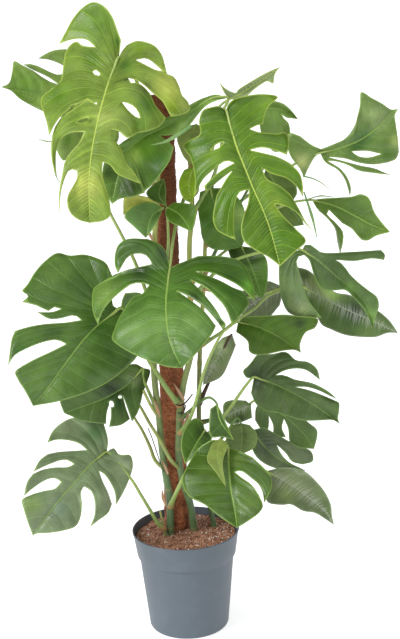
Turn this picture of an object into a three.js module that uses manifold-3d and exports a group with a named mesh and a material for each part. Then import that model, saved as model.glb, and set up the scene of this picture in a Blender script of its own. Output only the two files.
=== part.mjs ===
// A potted monstera: a tapered pot, its soil, a coir pole, four vines and their split leaves.
// Millimetres, +Z up. The origin is the centre of the pot's underside, and the plant's front faces -Y.
import * as THREE from "three";
import { mergeVertices } from "three/addons/utils/BufferGeometryUtils.js";
import Module from "manifold-3d";

const wasm = await Module();
wasm.setup();

// Driving dimensions, mm
const POT = { height: 230, wall: 2.5, floor: 3, lip: 1.5, lipSlope: 1, corner: 6, fillet: 8 };
// The pot from foot to rim as [height, outer radius]: its wall, the step, and the collar above it
const POT_SIDE = [[8, 90], [168, 106], [173, 111], [226, 118.5]];
const DRAIN = { count: 6, radius: 6, ring: 58 };
const SOIL = { edge: 214, shoulder: [60, 219], middle: 222 }; // heights, heaped towards the pole
const POLE = { radius: 27.5, foot: [-21, 25, 20], top: [-14, 25, 1190] };
const LEAF_THICKNESS = 2;
const BASAL_LEAN = 0.35; // how much of the blade's tilt its lobes behind the base follow
// A petiole's radius at the vine and at the blade, and the share of the midrib that it runs along
const PETIOLE = { foot: 5, tip: 3, lap: 0.06 };
const TIE = { radius: 1.3, height: 508, vine: 1, from: -120, to: 215, steps: 36 }; // degrees from +X
const GAP = 0.3; // clearance between neighbours that touch on the real plant
const SEAM = 0.05; // shortest edge that is kept where joined or cut surfaces of a solid meet

// How finely the model is faceted
const ROUND = 32; // flats round the pot
const POLE_FLATS = 20;
const VINE_FLATS = 8;
const PETIOLE_FLATS = 5;
const ROWS = 4; // rows of a leaf's mesh from the midrib to the edge
const MOST_COLUMNS = 8; // columns of one lobe's mesh
const RIB_STEPS = 8; // least number of steps along a midrib
const EVENING_PASSES = 10; // rounds in which a lobe's inner mesh points are evened out
const AXIS_STEPS = 200; // points read along a vine's axis to find a place on it
const HOLE_FLATS = 12;

// The plant is laid out as a viewer in front of it sees it: a place is [across, down] in a picture of
// 400 x 639 squares, with the depth behind (+) or in front (-) of the pot's centre in millimetres.
const VIEW = {
  eye: new THREE.Vector3(50, -2700, 1430),
  aimHeight: 712,
  lean: 2.2,
  centre: [200, 319.5],
  focus: 1298,
};

// The vines: places along each stem's axis, [across, down, depth], and its radius at the foot and at the
// top. stubs are stalks that grow from a vine and carry no blade of their own.
const VINES = [
  {
    name: "vine_1",
    radius: [8.5, 5.5],
    route: [[172, 545, -10], [170.5, 531, -10], [169.5, 497, -12], [164.5, 468, -13], [161, 440, -12],
      [158.5, 412, -9],
      [155, 385, -7], [153.5, 355, -6], [154, 320, -8], [154, 280, -10], [154.5, 240, -12],
      [157, 205, -14],
      [158, 165, -14]],
    stubs: [
      { radius: [4.5, 2.5], route: [[165, 470, -13], [155, 460, -10], [150, 447, 0], [142, 430, 8],
        [134, 417, 14],
        [126, 400, 18]] },
      { radius: [4, 3], route: [[158.5, 417, -9], [150, 404, -20], [143.5, 390.5, -23]] },
    ],
  },
  {
    name: "vine_2",
    radius: [8.5, 5],
    route: [[196, 545, 4], [194, 529, 4], [190, 503, -4], [183, 482, -11], [179, 458, -13],
      [179, 430, -12], [180.5, 402, -12],
      [185, 378, -12], [190, 358, -10], [191, 325, -8], [190, 290, -6], [189.5, 245, -6], [192, 212, -6],
      [191, 175, -4], [188, 145, 0]],
    stubs: [
      { radius: [4.5, 3], route: [[179, 468, -13], [171, 460, -30], [160, 440, -32], [150, 424, -14],
        [141, 408, 12],
        [133, 396, 22]] },
    ],
  },
  {
    name: "vine_3",
    radius: [6.5, 4.5],
    route: [[216, 543, 26], [214, 527, 28], [207, 490, 40], [200, 450, 48], [199, 400, 55],
      [200, 350, 58], [203, 300, 55],
      [205, 250, 45], [206, 215, 40]],
    stubs: [],
  },
  {
    name: "vine_4",
    radius: [3.5, 2.5],
    route: [[166, 548, -18], [165.5, 536, -18], [163, 524, -20], [160, 511, -22]],
    stubs: [],
  },
];

// The leaves. midrib runs from the base to the tip. left and right list the lobes from the base on: edge
// is the lobe's outer edge, root how far along the midrib the lobe ends, slit the inner end of the slit
// after it, close the outer end of a hole that doesn't reach the edge, and low and high bend the lobe's
// own two sides. depth is that of base and tip; turn leans the blade sideways, mm per square; arch brings
// its middle forward and droop takes its edges back, mm. stalk is the petiole's route from its vine.
const LEAVES = [
  {
    name: "leaf_01", tone: "young", depth: [-60, -230], turn: 0, arch: 35, droop: 28,
    midrib: [[119, 57], [110, 78], [103, 100], [97, 124], [92, 150], [89, 178], [90, 223]],
    stalk: { vine: 0, route: [[161, 172, -20], [149, 112, -12], [128, 66, -38]] },
    left: [
      { edge: [[121, 40], [117, 29], [112, 16], [104, 6], [93, 2], [82, 8], [72, 20], [65, 33], [59, 44]],
        low: [[120, 50]], root: 0.07, slit: [95, 47], high: [[86, 39.5], [72, 39.5]] },
      { edge: [[82, 46], [77, 41.5], [70, 45], [65, 54], [63, 68], [60, 82], [50, 90], [42, 97],
        [41, 104],
          [44, 114], [47, 124], [49, 136]],
        root: 0.27, slit: [88, 99], high: [[73, 107], [62, 115], [54, 126]] },
      { edge: [[57, 178]], low: [[72, 110], [60, 119], [53, 132], [51, 150], [52.5, 165]],
        root: 0.47, slit: [84, 132], high: [[70, 133], [61, 139], [56.5, 150], [56, 165]] },
      { edge: [[59.5, 216]], low: [[79, 143], [70, 153], [65, 161], [62, 176], [59, 192]],
        root: 0.66, slit: [77, 171], high: [[70, 169.5], [65, 178], [61, 192]] },
      { edge: [[73, 186], [67.5, 196], [67.5, 206], [71, 214], [79, 220], [90, 223]], low: [[77, 178]] },
    ],
    right: [
      { edge: [[127, 45], [136, 41], [146, 42], [155, 46], [162, 55], [165, 65], [167, 74]],
        low: [[122, 51]], root: 0.1, slit: [136, 60], close: [162, 71], high: [[146, 58.5], [156, 65]] },
      { edge: [[167, 74], [174, 77], [179, 86], [182, 95], [188, 102], [190, 110], [181, 115],
        [171, 117]],
        low: [[146, 65], [156, 70]], root: 0.2, slit: [128, 78], high: [[137, 80.5], [145, 86],
          [153, 93.5], [162, 101]] },
      { edge: [[166, 118], [160, 126], [148, 131], [137, 133]], low: [[132, 83.5], [137.5, 82.5],
        [144.5, 87.5], [151, 95],
          [154, 103]],
        root: 0.37, slit: [122, 102], close: [140, 118], high: [[130, 104], [137, 110]] },
      { edge: [[137, 133], [132, 136], [127, 138]], low: [[128, 110], [136, 117]],
        root: 0.5, slit: [110, 129], high: [[118, 131], [124, 136]] },
      { edge: [[122, 150], [126, 162], [134, 172], [141, 184]], low: [[112, 138], [118, 144]],
        root: 0.62, slit: [103, 162], high: [[110, 165], [117, 174], [128, 179]] },
      { edge: [[107, 192], [110, 204], [110, 216], [103, 221], [90, 223]], low: [[102, 172],
        [104, 182]] },
    ],
  },
  {
    name: "leaf_02", tone: "dark", depth: [110, 60], turn: 0.3, arch: 14, droop: 16,
    midrib: [[90, 102], [65, 99], [40, 95], [20, 91], [1, 87]],
    stalk: { vine: 0, route: [[154, 322, -8], [146, 292, 6], [134, 260, 25], [120, 232, 50],
      [109, 210, 74],
      [96, 160, 100]] },
    left: [
      { edge: [[110, 114], [118, 128], [118, 141], [108, 149], [94, 144]], low: [[100, 106]],
        root: 0.08 },
      { edge: [[94, 144], [85, 141], [78, 146], [70, 153], [64, 161], [57, 151], [56, 140]],
        root: 0.3, slit: [62, 112], high: [[59, 125]] },
      { edge: [[42, 111], [32, 106], [20, 99], [10, 90], [1, 87]], low: [[52, 112]] },
    ],
    right: [
      { edge: [[66, 49], [55, 50], [47, 53], [38, 58.5]], low: [[86, 75]],
        root: 0.15, slit: [70, 70], high: [[62, 65], [50, 60]] },
      { edge: [[23, 64.5]], low: [[60, 75], [32, 64]], root: 0.35, slit: [58, 84], high: [[48, 77],
        [33, 70]] },
      { edge: [[42, 77], [32, 70], [22, 65], [14, 61], [12, 72], [9, 83], [1, 87]], low: [[51, 82]] },
    ],
  },
  {
    name: "leaf_03", tone: "mid", depth: [-20, -130], turn: 0.8, arch: 20, droop: 16,
    midrib: [[228, 98], [216, 97.5], [205, 101.5], [188, 114], [165, 127], [142, 138], [125, 155], [117, 180],
      [112, 204]],
    stalk: { vine: 1, route: [[191, 170, -4], [204, 140, -8], [222, 112, -16]] },
    left: [
      { edge: [[190, 125], [183, 131], [174, 134.5], [165, 135.5]],
        low: [[217, 100.5], [206, 106]], root: 0.47, slit: [160, 135.5] },
      { edge: [[174, 147], [170, 160], [162, 172], [154, 183], [144, 192]], low: [[166, 139.5]],
        root: 0.68, slit: [131, 155], high: [[135, 164], [140, 180]] },
      { edge: [[144, 194], [133, 197], [120, 199], [112, 204]], low: [[132, 163], [138.5, 181]] },
    ],
    right: [
      { edge: [[200, 99.5], [180, 111], [160, 121], [140, 131], [120, 144], [106, 158], [102, 178],
        [106, 194], [112, 204]],
        low: [[216, 94.5]] },
    ],
  },
  {
    name: "leaf_04", tone: "young", depth: [-75, -235], turn: 0, arch: 32, droop: 26,
    midrib: [[226, 110], [231, 128], [237, 148], [245, 168], [253, 188], [263, 210], [271, 232],
      [280, 266]],
    stalk: { vine: 1, route: [[192, 215, -6], [214, 175, -30], [224, 130, -55]] },
    left: [
      { edge: [[212, 107], [203, 110], [199, 121], [200, 134], [188, 141], [183, 146], [190, 157]],
        low: [[219, 106]],
        root: 0.24, slit: [224, 142], close: [211, 150], high: [[217, 144]] },
      { edge: [[190, 157], [193, 166], [195, 180], [194, 198]], low: [[218, 148.5]],
        root: 0.4, slit: [234, 163], high: [[226, 161], [212, 171], [203, 179.5]] },
      { edge: [[204, 186], [206, 192]], low: [[222, 170], [212, 178]],
        root: 0.43, slit: [232, 171], high: [[225, 176], [214, 185]] },
      { edge: [[217, 195], [214, 208], [213, 220], [217, 230], [227, 236], [236, 240]], low: [[226, 179]],
        root: 0.5, slit: [249, 190], high: [[240, 192], [235, 204], [234, 218], [234, 230]] },
      { edge: [[244, 214], [241, 228], [244, 241], [255, 250], [268, 257], [280, 266]],
        low: [[248, 203]] },
    ],
    right: [
      { edge: [[234, 99], [245, 96], [262, 94], [278, 97], [270, 105], [265, 114], [263, 124]],
        low: [[229, 103]], root: 0.2, slit: [250, 129], high: [[257, 125.5]] },
      { edge: [[277, 134], [286, 132], [289, 143], [287, 155]], low: [[258, 132], [268, 133]],
        root: 0.36, slit: [250, 150], high: [[262, 147.5], [277, 151]] },
      { edge: [[290, 163], [300, 174], [303, 186], [303, 197]], low: [[263, 153], [278, 157]],
        root: 0.5, slit: [262, 168], high: [[272, 174], [286, 178], [297, 187]] },
      { edge: [[290, 194], [298, 207], [306, 222], [314, 232]], low: [[267, 179], [279, 185]],
        root: 0.68, slit: [275, 204], high: [[285, 206], [297, 213], [304, 222]] },
      { edge: [[288, 221], [296, 229], [306, 241], [296, 251], [280, 266]], low: [[280, 212]] },
    ],
  },
  {
    name: "leaf_05", tone: "young", depth: [10, 80], turn: 0.6, arch: 8, droop: 8,
    midrib: [[230, 99], [240, 94], [255, 85], [268, 76], [280, 67]],
    stalk: { vine: 1, route: [[189.5, 158, -2], [206, 125, 9], [222, 104, 9]] },
    left: [
      { edge: [[219, 82]], low: [[225, 94]], root: 0.2, slit: [236, 93], high: [[231, 91.5], [225, 88]] },
      { edge: [[242, 87], [250, 82], [262, 75], [270, 71], [280, 67]], low: [[238, 90]] },
    ],
    right: [{ edge: [[238, 100], [247, 96], [253, 90.5], [262, 84], [268, 81], [273, 84], [275, 74],
      [280, 67]] }],
  },
  {
    name: "leaf_06", tone: "mid", depth: [60, 70], turn: 0.2, arch: 8, droop: 12,
    midrib: [[258, 110], [272, 108], [285, 111], [298, 119]],
    stalk: { vine: 2, route: [[206, 216, 40], [222, 150, 49], [246, 113, 49]] },
    left: [{ edge: [[264, 101], [275, 101], [284, 104], [291, 110], [298, 119]], low: [[260, 104]] }],
    right: [
      { edge: [[262, 138], [275, 152], [288, 146], [289, 124], [284, 118.5]], low: [[259, 122]],
        root: 0.6, slit: [282, 115], high: [[283, 117]] },
      { edge: [[287, 118], [298, 119]] },
    ],
  },
  {
    name: "leaf_07", tone: "mid", depth: [30, 100], turn: 0, arch: 14, droop: 20,
    midrib: [[320, 153], [340, 148], [360, 140], [378, 127], [390, 114], [398, 109]],
    stalk: { vine: 2, route: [[206, 230, 42], [245, 198, 68], [285, 170, 58], [310, 156, 33]] },
    left: [
      { edge: [[304, 178], [300, 169], [291, 157], [287, 145], [289, 133], [300, 136]],
        low: [[315, 157], [309, 167]], root: 0.05, slit: [321, 149], high: [[312, 145]] },
      { edge: [[340, 141.5], [350, 136], [354, 131], [357, 118], [360, 105], [361, 92], [372, 98],
        [383, 104],
          [391, 109.5], [398, 109]], low: [[329, 146]] },
    ],
    right: [
      { edge: [[350, 197]], low: [[325, 162], [338, 170], [345, 180], [348, 189]],
        root: 0.03, slit: [328, 161], high: [[340, 168.5], [347, 177], [351, 188]] },
      { edge: [[391, 175]], low: [[334, 161], [348, 165], [358, 170.5], [373, 173]],
        root: 0.07, slit: [328, 157], high: [[345, 161.5], [360, 165.5], [375, 168.5], [383, 172]] },
      { edge: [[388, 162.5], [396, 159], [399, 152]], low: [[345, 158.5], [358, 162.5], [374, 164.5]],
        root: 0.3, slit: [352, 151.5], close: [381, 154], high: [[358, 156], [368, 157.5]] },
      { edge: [[399, 152], [398, 140], [396, 125], [395, 115], [398, 109]], low: [[367, 151]] },
    ],
  },
  {
    name: "leaf_08", tone: "mid", depth: [-5, -95], turn: 0, arch: 18, droop: 18,
    midrib: [[312, 200], [335, 206], [355, 216], [372, 225], [390, 232]],
    stalk: { vine: 2, route: [[205, 245, 45], [225, 236, 50], [250, 222, 36], [290, 203, 2]] },
    left: [
      { edge: [[340, 197.5], [352, 196.5], [361, 194], [368, 197], [371, 202], [374, 211], [380, 220],
        [390, 232]],
        low: [[322, 198.5]] },
    ],
    right: [
      { edge: [[340, 254]], low: [[318, 210], [327, 218], [335, 229], [337, 241]],
        root: 0.12, slit: [329, 210], high: [[327, 214], [335, 222], [343, 232], [343, 243]] },
      { edge: [[342, 223], [352, 229], [357, 235], [362, 240], [368, 240.5], [376, 236], [390, 232]],
        low: [[334, 215]] },
    ],
  },
  {
    name: "leaf_09", tone: "dark", depth: [-50, -135], turn: 0, arch: 14, droop: 20,
    midrib: [[302, 250], [318, 260.5], [335, 275], [352, 290], [366, 305], [373, 328]],
    stalk: { vine: 1, route: [[189, 300, -8], [225, 265, -25], [262, 252, -38], [290, 248, -46]] },
    left: [
      { edge: [[381, 250], [385, 255], [384, 260]], low: [[306, 244], [313, 246], [320, 252], [350, 252]],
        root: 0.35, slit: [336, 260], high: [[355, 261], [372, 258.5]] },
      { edge: [[347, 270], [352, 277], [368, 290], [377, 297], [379, 306], [376, 316], [373, 328]],
        low: [[341, 263]] },
    ],
    right: [
      { edge: [[279, 263], [279, 280], [282, 300], [289, 313], [305, 317], [322, 318]], low: [[290, 252]],
        root: 0.06, slit: [304, 255], high: [[297, 258], [298, 268], [302, 284], [309, 301]] },
      { edge: [[313, 272], [317, 283], [323, 290], [335, 290.5], [345, 290], [357, 301.5],
        [366, 312.5], [373, 328]],
        low: [[309, 260]] },
    ],
  },
  {
    name: "leaf_10", tone: "mid", depth: [-110, -310], turn: 0, arch: 35, droop: 28,
    midrib: [[170, 268], [168, 282], [166, 300], [167, 325], [171, 345], [182, 368]],
    stalk: { vine: 1, route: [[191, 178, -4], [185, 196, -21], [178, 216, -42], [173, 240, -74]] },
    left: [
      { edge: [[148, 239], [128, 239], [119, 244], [115, 254], [115, 266], [118, 273]],
        low: [[168, 256], [161, 245]],
        root: 0.1, slit: [152, 264], high: [[147, 256], [138, 253.5], [128, 257], [122, 266]] },
      { edge: [[118, 276], [105, 281], [94, 288], [92, 300], [93, 312], [98, 325]],
        low: [[137, 267.5], [124, 271]],
        root: 0.25, slit: [149, 285], high: [[140, 283], [131, 284.5], [123, 290], [118, 294],
          [107, 305], [101, 315]] },
      { edge: [[126, 306], [119, 318], [115, 328], [112, 339], [118, 345], [135, 355], [152, 362],
        [168, 367],
          [182, 368]], low: [[142, 294], [134, 296]] },
    ],
    right: [
      { edge: [[198, 256], [220, 256], [238, 260], [245, 266], [250, 276], [254, 288], [255, 302]],
        low: [[178, 264], [188, 260]],
        root: 0.14, slit: [196, 271.5], high: [[212, 273], [225, 278.5], [236, 284], [246, 292]] },
      { edge: [[243, 291], [249, 302], [244, 312], [237, 319], [232, 327]],
        low: [[210, 276.5], [222, 281.5], [234, 288]],
        root: 0.2, slit: [190, 280], high: [[204, 286.5], [215, 296], [224, 306], [229, 316]] },
      { edge: [[221, 318], [226, 325], [223, 330]], low: [[199, 289], [208, 299], [217, 311]],
        root: 0.28, slit: [177, 291], high: [[191, 298], [205, 308], [216, 320]] },
      { edge: [[216, 326], [212, 334], [205, 343], [195, 355], [182, 368]], low: [[189, 299],
        [204, 311]] },
    ],
  },
  {
    name: "leaf_11", tone: "mid", depth: [-50, -195], turn: 0, arch: 28, droop: 26,
    midrib: [[121, 308], [98, 325], [85, 338], [74, 352], [62, 368], [50, 385], [33, 406]],
    stalk: { vine: 1, route: [[180, 405, -12], [173, 397, -28], [165, 386, -38], [150, 362, -42],
      [134, 334, -42]] },
    left: [
      { edge: [[125, 293], [140, 293], [149, 300], [149, 311]], low: [[122, 300]], root: 0.05 },
      { edge: [[149, 311], [147, 328], [142, 347], [136, 358], [124, 370], [108, 382], [88, 392],
        [60, 401], [33, 406]] },
    ],
    right: [
      { edge: [[112, 275], [106, 263], [97, 258], [84, 254.5], [70, 255.5], [57, 253], [45, 261],
        [35, 272],
          [27, 285], [22, 291], [28, 296], [22, 302]], low: [[114, 307], [112, 292]],
        root: 0.1, slit: [61, 309], high: [[55, 307], [48, 311], [38, 306]] },
      { edge: [[37, 312]], low: [[52, 312]], root: 0.16, slit: [81, 320], high: [[75, 315.5],
        [60, 318.5], [49, 319]] },
      { edge: [[15, 331], [12, 338], [10, 350], [8, 366]], low: [[66, 322.5], [45, 324], [28, 327]],
        root: 0.36, slit: [66, 344], high: [[57, 340], [44, 342], [28, 348], [14, 356]] },
      { edge: [[22, 366], [15, 372], [18, 380], [25, 391], [33, 406]], low: [[50, 352], [35, 359]] },
    ],
  },
  {
    name: "leaf_12", tone: "dark", depth: [5, -60], turn: 0, arch: 12, droop: 12,
    midrib: [[143, 368], [128, 384], [105, 398], [84, 406], [64, 413]],
    stalk: { vine: 0, route: [[158, 412, -9], [154, 403, -16], [148, 390, -10], [143, 377, 1]] },
    left: [
      { edge: [[147, 383], [143, 393], [141, 402], [138, 412], [132, 422]], low: [[150, 370]],
        root: 0.22, slit: [123, 396], high: [[128, 410]] },
      { edge: [[130, 419], [121, 425], [109, 427]], low: [[126, 408]],
        root: 0.45, slit: [110, 403], high: [[111, 415]] },
      { edge: [[106, 424], [95, 423], [82, 421], [73, 417], [64, 413]], low: [[107, 412]] },
    ],
    right: [{ edge: [[122, 366], [95, 380], [72, 391], [60, 400], [62, 408], [64, 413]],
      low: [[136, 364]] }],
  },
  {
    name: "leaf_13", tone: "mid", depth: [-50, -185], turn: 0, arch: 22, droop: 24,
    midrib: [[107, 452], [95, 460], [85, 470], [75, 482], [66, 492], [55, 505], [33, 536]],
    stalk: { vine: 3, route: [[164.5, 529, -19], [158, 523, -27], [150, 510, -38], [141, 495, -50],
      [131, 479, -57]] },
    left: [
      { edge: [[114, 448], [120, 455], [130, 455], [133, 465], [130, 477], [124, 491], [116, 505]],
        low: [[110, 449.5]], root: 0.14, slit: [99, 471], high: [[104, 474], [110, 482], [115, 493]] },
      { edge: [[112, 504], [108, 513], [99, 520], [90, 527]], low: [[103, 482], [108, 492]],
        root: 0.44, slit: [84, 486.5], high: [[91, 491], [95, 503], [94.5, 515]] },
      { edge: [[82, 503], [81, 515], [76, 526], [62, 531], [48, 533], [35, 534], [33, 536]],
        low: [[81, 492]] },
    ],
    right: [
      { edge: [[104, 424], [90, 418], [72, 418], [60, 424], [52, 432], [47, 443]], low: [[108, 440]],
        root: 0.12, slit: [87, 450], high: [[79, 443.5], [66, 440], [55, 440]] },
      { edge: [[48, 454], [40, 460], [33, 472]], low: [[72, 451], [58, 452]],
        root: 0.25, slit: [74, 464], high: [[67, 460], [60, 460.5], [50, 464], [42, 467.5]] },
      { edge: [[33, 474], [27, 482], [24, 496]], low: [[68, 467], [55, 467.5], [42, 470]],
        root: 0.45, slit: [61, 482], high: [[56, 478.5], [50, 478.5], [42, 482], [32, 489]] },
      { edge: [[33, 494], [22, 500], [24, 510], [28, 523], [33, 536]], low: [[55, 488.5], [44, 491]] },
    ],
  },
  {
    name: "leaf_14", tone: "olive", depth: [-70, -120], turn: 0, arch: 12, droop: 16,
    midrib: [[238, 322], [258, 327], [279, 337], [301, 353]],
    stalk: { vine: 1, route: [[180, 434, -12], [188, 422, -34], [194, 408, -46], [198.5, 392, -54],
      [204, 372, -60],
      [213, 350, -66], [225, 330, -70]] },
    left: [{ edge: [[255, 316], [270, 315.5], [285, 314.5], [298, 316], [318, 319], [315, 328],
      [306, 332], [300, 345],
      [301, 353]],
      low: [[244, 317]] }],
    right: [{ edge: [[236, 332], [242, 336], [248, 342], [249, 351], [254, 354.5], [265, 354.5],
      [285, 350.5],
      [295, 350], [301, 353]] }],
  },
  {
    name: "leaf_15", tone: "dark", depth: [-35, -130], turn: 0, arch: 16, droop: 20,
    midrib: [[254, 377], [272, 383], [297, 395], [320, 409], [340, 424]],
    stalk: { vine: 2, route: [[199.5, 440, 50], [214, 429, 15], [228, 411, -22], [247, 384, -32]] },
    left: [
      { edge: [[253, 360], [257, 355], [272, 354], [286, 352], [296, 360], [308, 362], [317, 369],
        [320, 380]],
        low: [[247, 378], [243, 371], [248, 366]],
        root: 0.15, slit: [276, 375], high: [[285, 370.5], [296, 368.5], [306, 370]] },
      { edge: [[337, 399]], low: [[284, 375], [295, 379.5], [312, 383], [328, 391]],
        root: 0.33, slit: [296, 387], high: [[307, 387], [320, 391], [330, 396]] },
      { edge: [[335, 400.5], [339, 403], [339, 412], [338, 419], [340, 424]], low: [[307, 389.5],
        [322, 395]] },
    ],
    right: [{ edge: [[251, 393], [256, 404], [266, 411], [278, 413], [290, 417], [303, 420.5],
      [320, 420.5],
      [333, 420], [340, 424]] }],
  },
  {
    name: "leaf_16", tone: "dark", depth: [40, 0], turn: 0, arch: 8, droop: 12,
    midrib: [[262, 400], [278, 411], [295, 425], [307, 438], [314, 449]],
    stalk: { vine: 2, route: [[204, 473, 44], [230, 436, 51], [252, 402, 41]] },
    left: [{ edge: [[280, 402], [295, 411], [308, 422], [317, 430], [317, 438], [314, 449]],
      low: [[268, 397]] }],
    right: [
      { edge: [[255, 420], [262, 430], [268, 431]], low: [[256, 408]],
        root: 0.22, slit: [269, 416], high: [[269, 424]] },
      { edge: [[273, 435], [280, 437], [286, 437]], low: [[273, 425]],
        root: 0.45, slit: [284, 419], high: [[282, 428]] },
      { edge: [[289, 438], [291, 446], [301, 448], [314, 449]], low: [[288, 428]] },
    ],
  },
  {
    name: "leaf_17", tone: "mid", depth: [-110, -235], turn: 0, arch: 18, droop: 18,
    midrib: [[228, 448], [229, 468], [231, 490], [235, 512], [237, 528]],
    stalk: { vine: 0, route: [[170, 508, -12], [177, 491, -52], [189, 467, -82], [201, 449, -98],
      [215, 441, -108]] },
    left: [{ edge: [[212, 440], [200, 447], [190, 461], [182, 481], [190, 497], [205, 505], [220, 517],
      [237, 528]],
      low: [[222, 442]] }],
    right: [
      { edge: [[252, 457], [262, 466], [270, 475], [272, 485], [268, 496], [264, 503]], low: [[240, 451]],
        root: 0.25, slit: [235, 472], high: [[241, 471], [251, 478], [259, 485], [263, 494]] },
      { edge: [[259, 495], [263, 506], [260, 512], [250, 520], [237, 528]], low: [[241, 477],
        [252, 485]] },
    ],
    fold: {
      depth: [-112, -208], turn: 0, arch: 10, droop: 8,
      midrib: [[221, 438], [217, 455], [226, 487]],
      left: [{ edge: [[229, 445], [223, 461], [226, 487]] }],
      right: [{ edge: [[212, 443], [207, 460], [214, 470], [226, 487]] }],
    },
  },
  {
    name: "leaf_18", tone: "mid", depth: [-45, -85], turn: 0, arch: 6, droop: 10,
    midrib: [[205, 430], [196, 444], [185, 464]],
    stalk: { vine: 1, route: [[182, 480, -11], [196, 458, -30], [203, 440, -36]] },
    left: [{ edge: [[213, 436], [208, 447], [197, 455], [185, 464]] }],
    right: [{ edge: [[203, 422], [195, 418], [187, 425], [182, 436], [181, 449], [185, 464]] }],
  },
  {
    name: "leaf_19", tone: "mid", depth: [-80, -110], turn: 0, arch: 4, droop: 6,
    midrib: [[217, 404], [220, 420], [234, 440]],
    stalk: { vine: 1, route: [[179.5, 421, -12], [190, 411, -24], [201, 401, -42], [211, 398, -74]] },
    left: [{ edge: [[221, 411], [227, 425], [234, 440]] }],
    right: [{ edge: [[210, 409], [209, 424], [211, 437], [222, 437], [234, 440]] }],
  },
  {
    name: "leaf_20", tone: "olive", depth: [-55, -80], turn: 0, arch: 8, droop: 16,
    midrib: [[241, 423], [242, 438], [240, 455]],
    stalk: { vine: 2, route: [[201, 457, 47], [224, 436, 0], [238, 418, -48]] },
    left: [{ edge: [[250, 425], [257, 434], [255, 447], [240, 455]] }],
    right: [{ edge: [[231, 425], [226, 438], [229, 449], [240, 455]] }],
  },
  {
    name: "leaf_21", tone: "dark", depth: [-20, -60], turn: 0, arch: 8, droop: 12,
    midrib: [[252, 430], [266, 448], [282, 461], [306, 471]],
    stalk: { vine: 2, route: [[206, 486, 41], [228, 458, 15], [245, 432, -12]] },
    left: [
      { edge: [[264, 427], [280, 436], [298, 446], [311, 451], [313, 461], [302.5, 464.5]],
        root: 0.3, slit: [277, 445], high: [[286, 453.5], [292, 461.5]] },
      { edge: [[277, 445], [281, 454.5], [289, 463], [300, 467.8], [306, 471]] },
    ],
    right: [{ edge: [[250, 443], [255, 455], [265, 464], [283, 470], [306, 471]] }],
  },
  {
    name: "leaf_22", tone: "dark", depth: [-45, -135], turn: 0, arch: 12, droop: 18,
    midrib: [[266, 471], [285, 481], [305, 495], [325, 511], [334, 525]],
    stalk: { vine: 1, route: [[187, 495, -7], [215, 478, -25], [248, 468, -38]] },
    left: [{ edge: [[280, 467.5], [295, 468], [306, 472], [316, 481], [325, 492], [331, 505],
      [332, 515], [334, 525]] }],
    right: [{ edge: [[263, 482], [265, 495], [268, 502.5], [282, 505], [291, 504.5], [303, 511],
      [315, 513],
      [325, 519], [334, 525]] }],
  },
  {
    name: "leaf_23", tone: "dark", depth: [25, -10], turn: 0, arch: 12, droop: 14,
    midrib: [[210, 188], [216, 208], [226, 228], [242, 247]],
    stalk: { vine: 1, route: [[190, 225, -6], [199, 203, 15], [208, 190, 22]] },
    left: [{ edge: [[226, 188], [240, 200], [246, 216], [247, 232], [242, 247]] }],
    right: [{ edge: [[200, 192], [198, 208], [200, 224], [203, 240], [212, 249], [226, 250],
      [242, 247]] }],
  },
  {
    name: "leaf_24", tone: "dark", depth: [10, -40], turn: 0, arch: 10, droop: 12,
    midrib: [[241, 246], [250, 264], [257, 282], [262, 299]],
    stalk: { vine: 1, route: [[189, 285, -8], [212, 262, -1], [234, 246, 5]] },
    left: [{ edge: [[256, 248], [266, 258], [268, 275], [266, 290], [262, 299]] }],
    right: [{ edge: [[228, 250], [231, 259], [240, 272], [250, 288], [262, 299]] }],
  },
  {
    name: "leaf_25", tone: "mid", depth: [-62, -105], turn: 0, arch: 6, droop: 10,
    midrib: [[163, 208], [152, 216], [146, 238]],
    stalk: { vine: 0, route: [[156.5, 214, -14], [160, 210, -40]] },
    left: [{ edge: [[161, 214], [155, 226], [146, 238]] }],
    right: [{ edge: [[155, 202.5], [143, 203], [133, 207], [124, 216], [133, 226], [146, 238]] }],
    fold: {
      depth: [-62, -66], turn: 0, arch: 3, droop: 5,
      midrib: [[163, 208], [142, 204], [123, 215]],
      left: [{ edge: [[148, 210], [134, 210], [123, 215]] }],
      right: [{ edge: [[148, 197], [136, 195], [125, 196], [123, 215]] }],
    },
  },
  {
    name: "leaf_26", tone: "mid", depth: [-58, -105], turn: 0, arch: 6, droop: 10,
    midrib: [[167, 207], [180, 215], [192, 232]],
    stalk: { vine: 0, route: [[154, 285, -10], [163, 272, -34], [168, 250, -46], [168, 225, -54]] },
    left: [{ edge: [[174, 202.5], [184, 203], [195, 206], [195, 220], [192, 232]] }],
    right: [{ edge: [[165, 214], [170, 222], [181, 227], [192, 232]] }],
    fold: {
      depth: [-58, -44], turn: 0, arch: 2, droop: 4,
      midrib: [[167, 207], [159, 195], [164, 178]],
      left: [{ edge: [[151, 200], [146, 193], [154, 184], [164, 178]] }],
      right: [{ edge: [[166, 199], [166, 188], [164, 178]] }],
    },
  },
  {
    name: "leaf_27", tone: "young", depth: [-35, -70], turn: 0, arch: 6, droop: 10,
    midrib: [[194, 166], [189, 182], [191, 203]],
    stalk: { vine: 1, route: [[191.5, 195, -5], [197, 190, -24], [197, 175, -36]] },
    left: [{ edge: [[197, 180], [195, 195], [191, 203]] }],
    right: [{ edge: [[184, 170], [179, 181], [180, 192], [185, 200], [191, 203]] }],
  },
  {
    name: "leaf_28", tone: "dark", depth: [70, 40], turn: 0, arch: 8, droop: 12,
    midrib: [[232, 334], [220, 354], [203, 385]],
    stalk: { vine: 2, route: [[199, 405, 55], [212, 375, 63], [228, 340, 59]] },
    left: [{ edge: [[236, 345], [230, 360], [221, 377], [203, 385]] }],
    right: [{ edge: [[222, 338], [211, 352], [204, 368], [203, 385]] }],
  },
  {
    name: "leaf_29", tone: "dark", depth: [30, 10], turn: 0, arch: 6, droop: 8,
    midrib: [[251, 405], [237, 411], [223, 417]],
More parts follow.
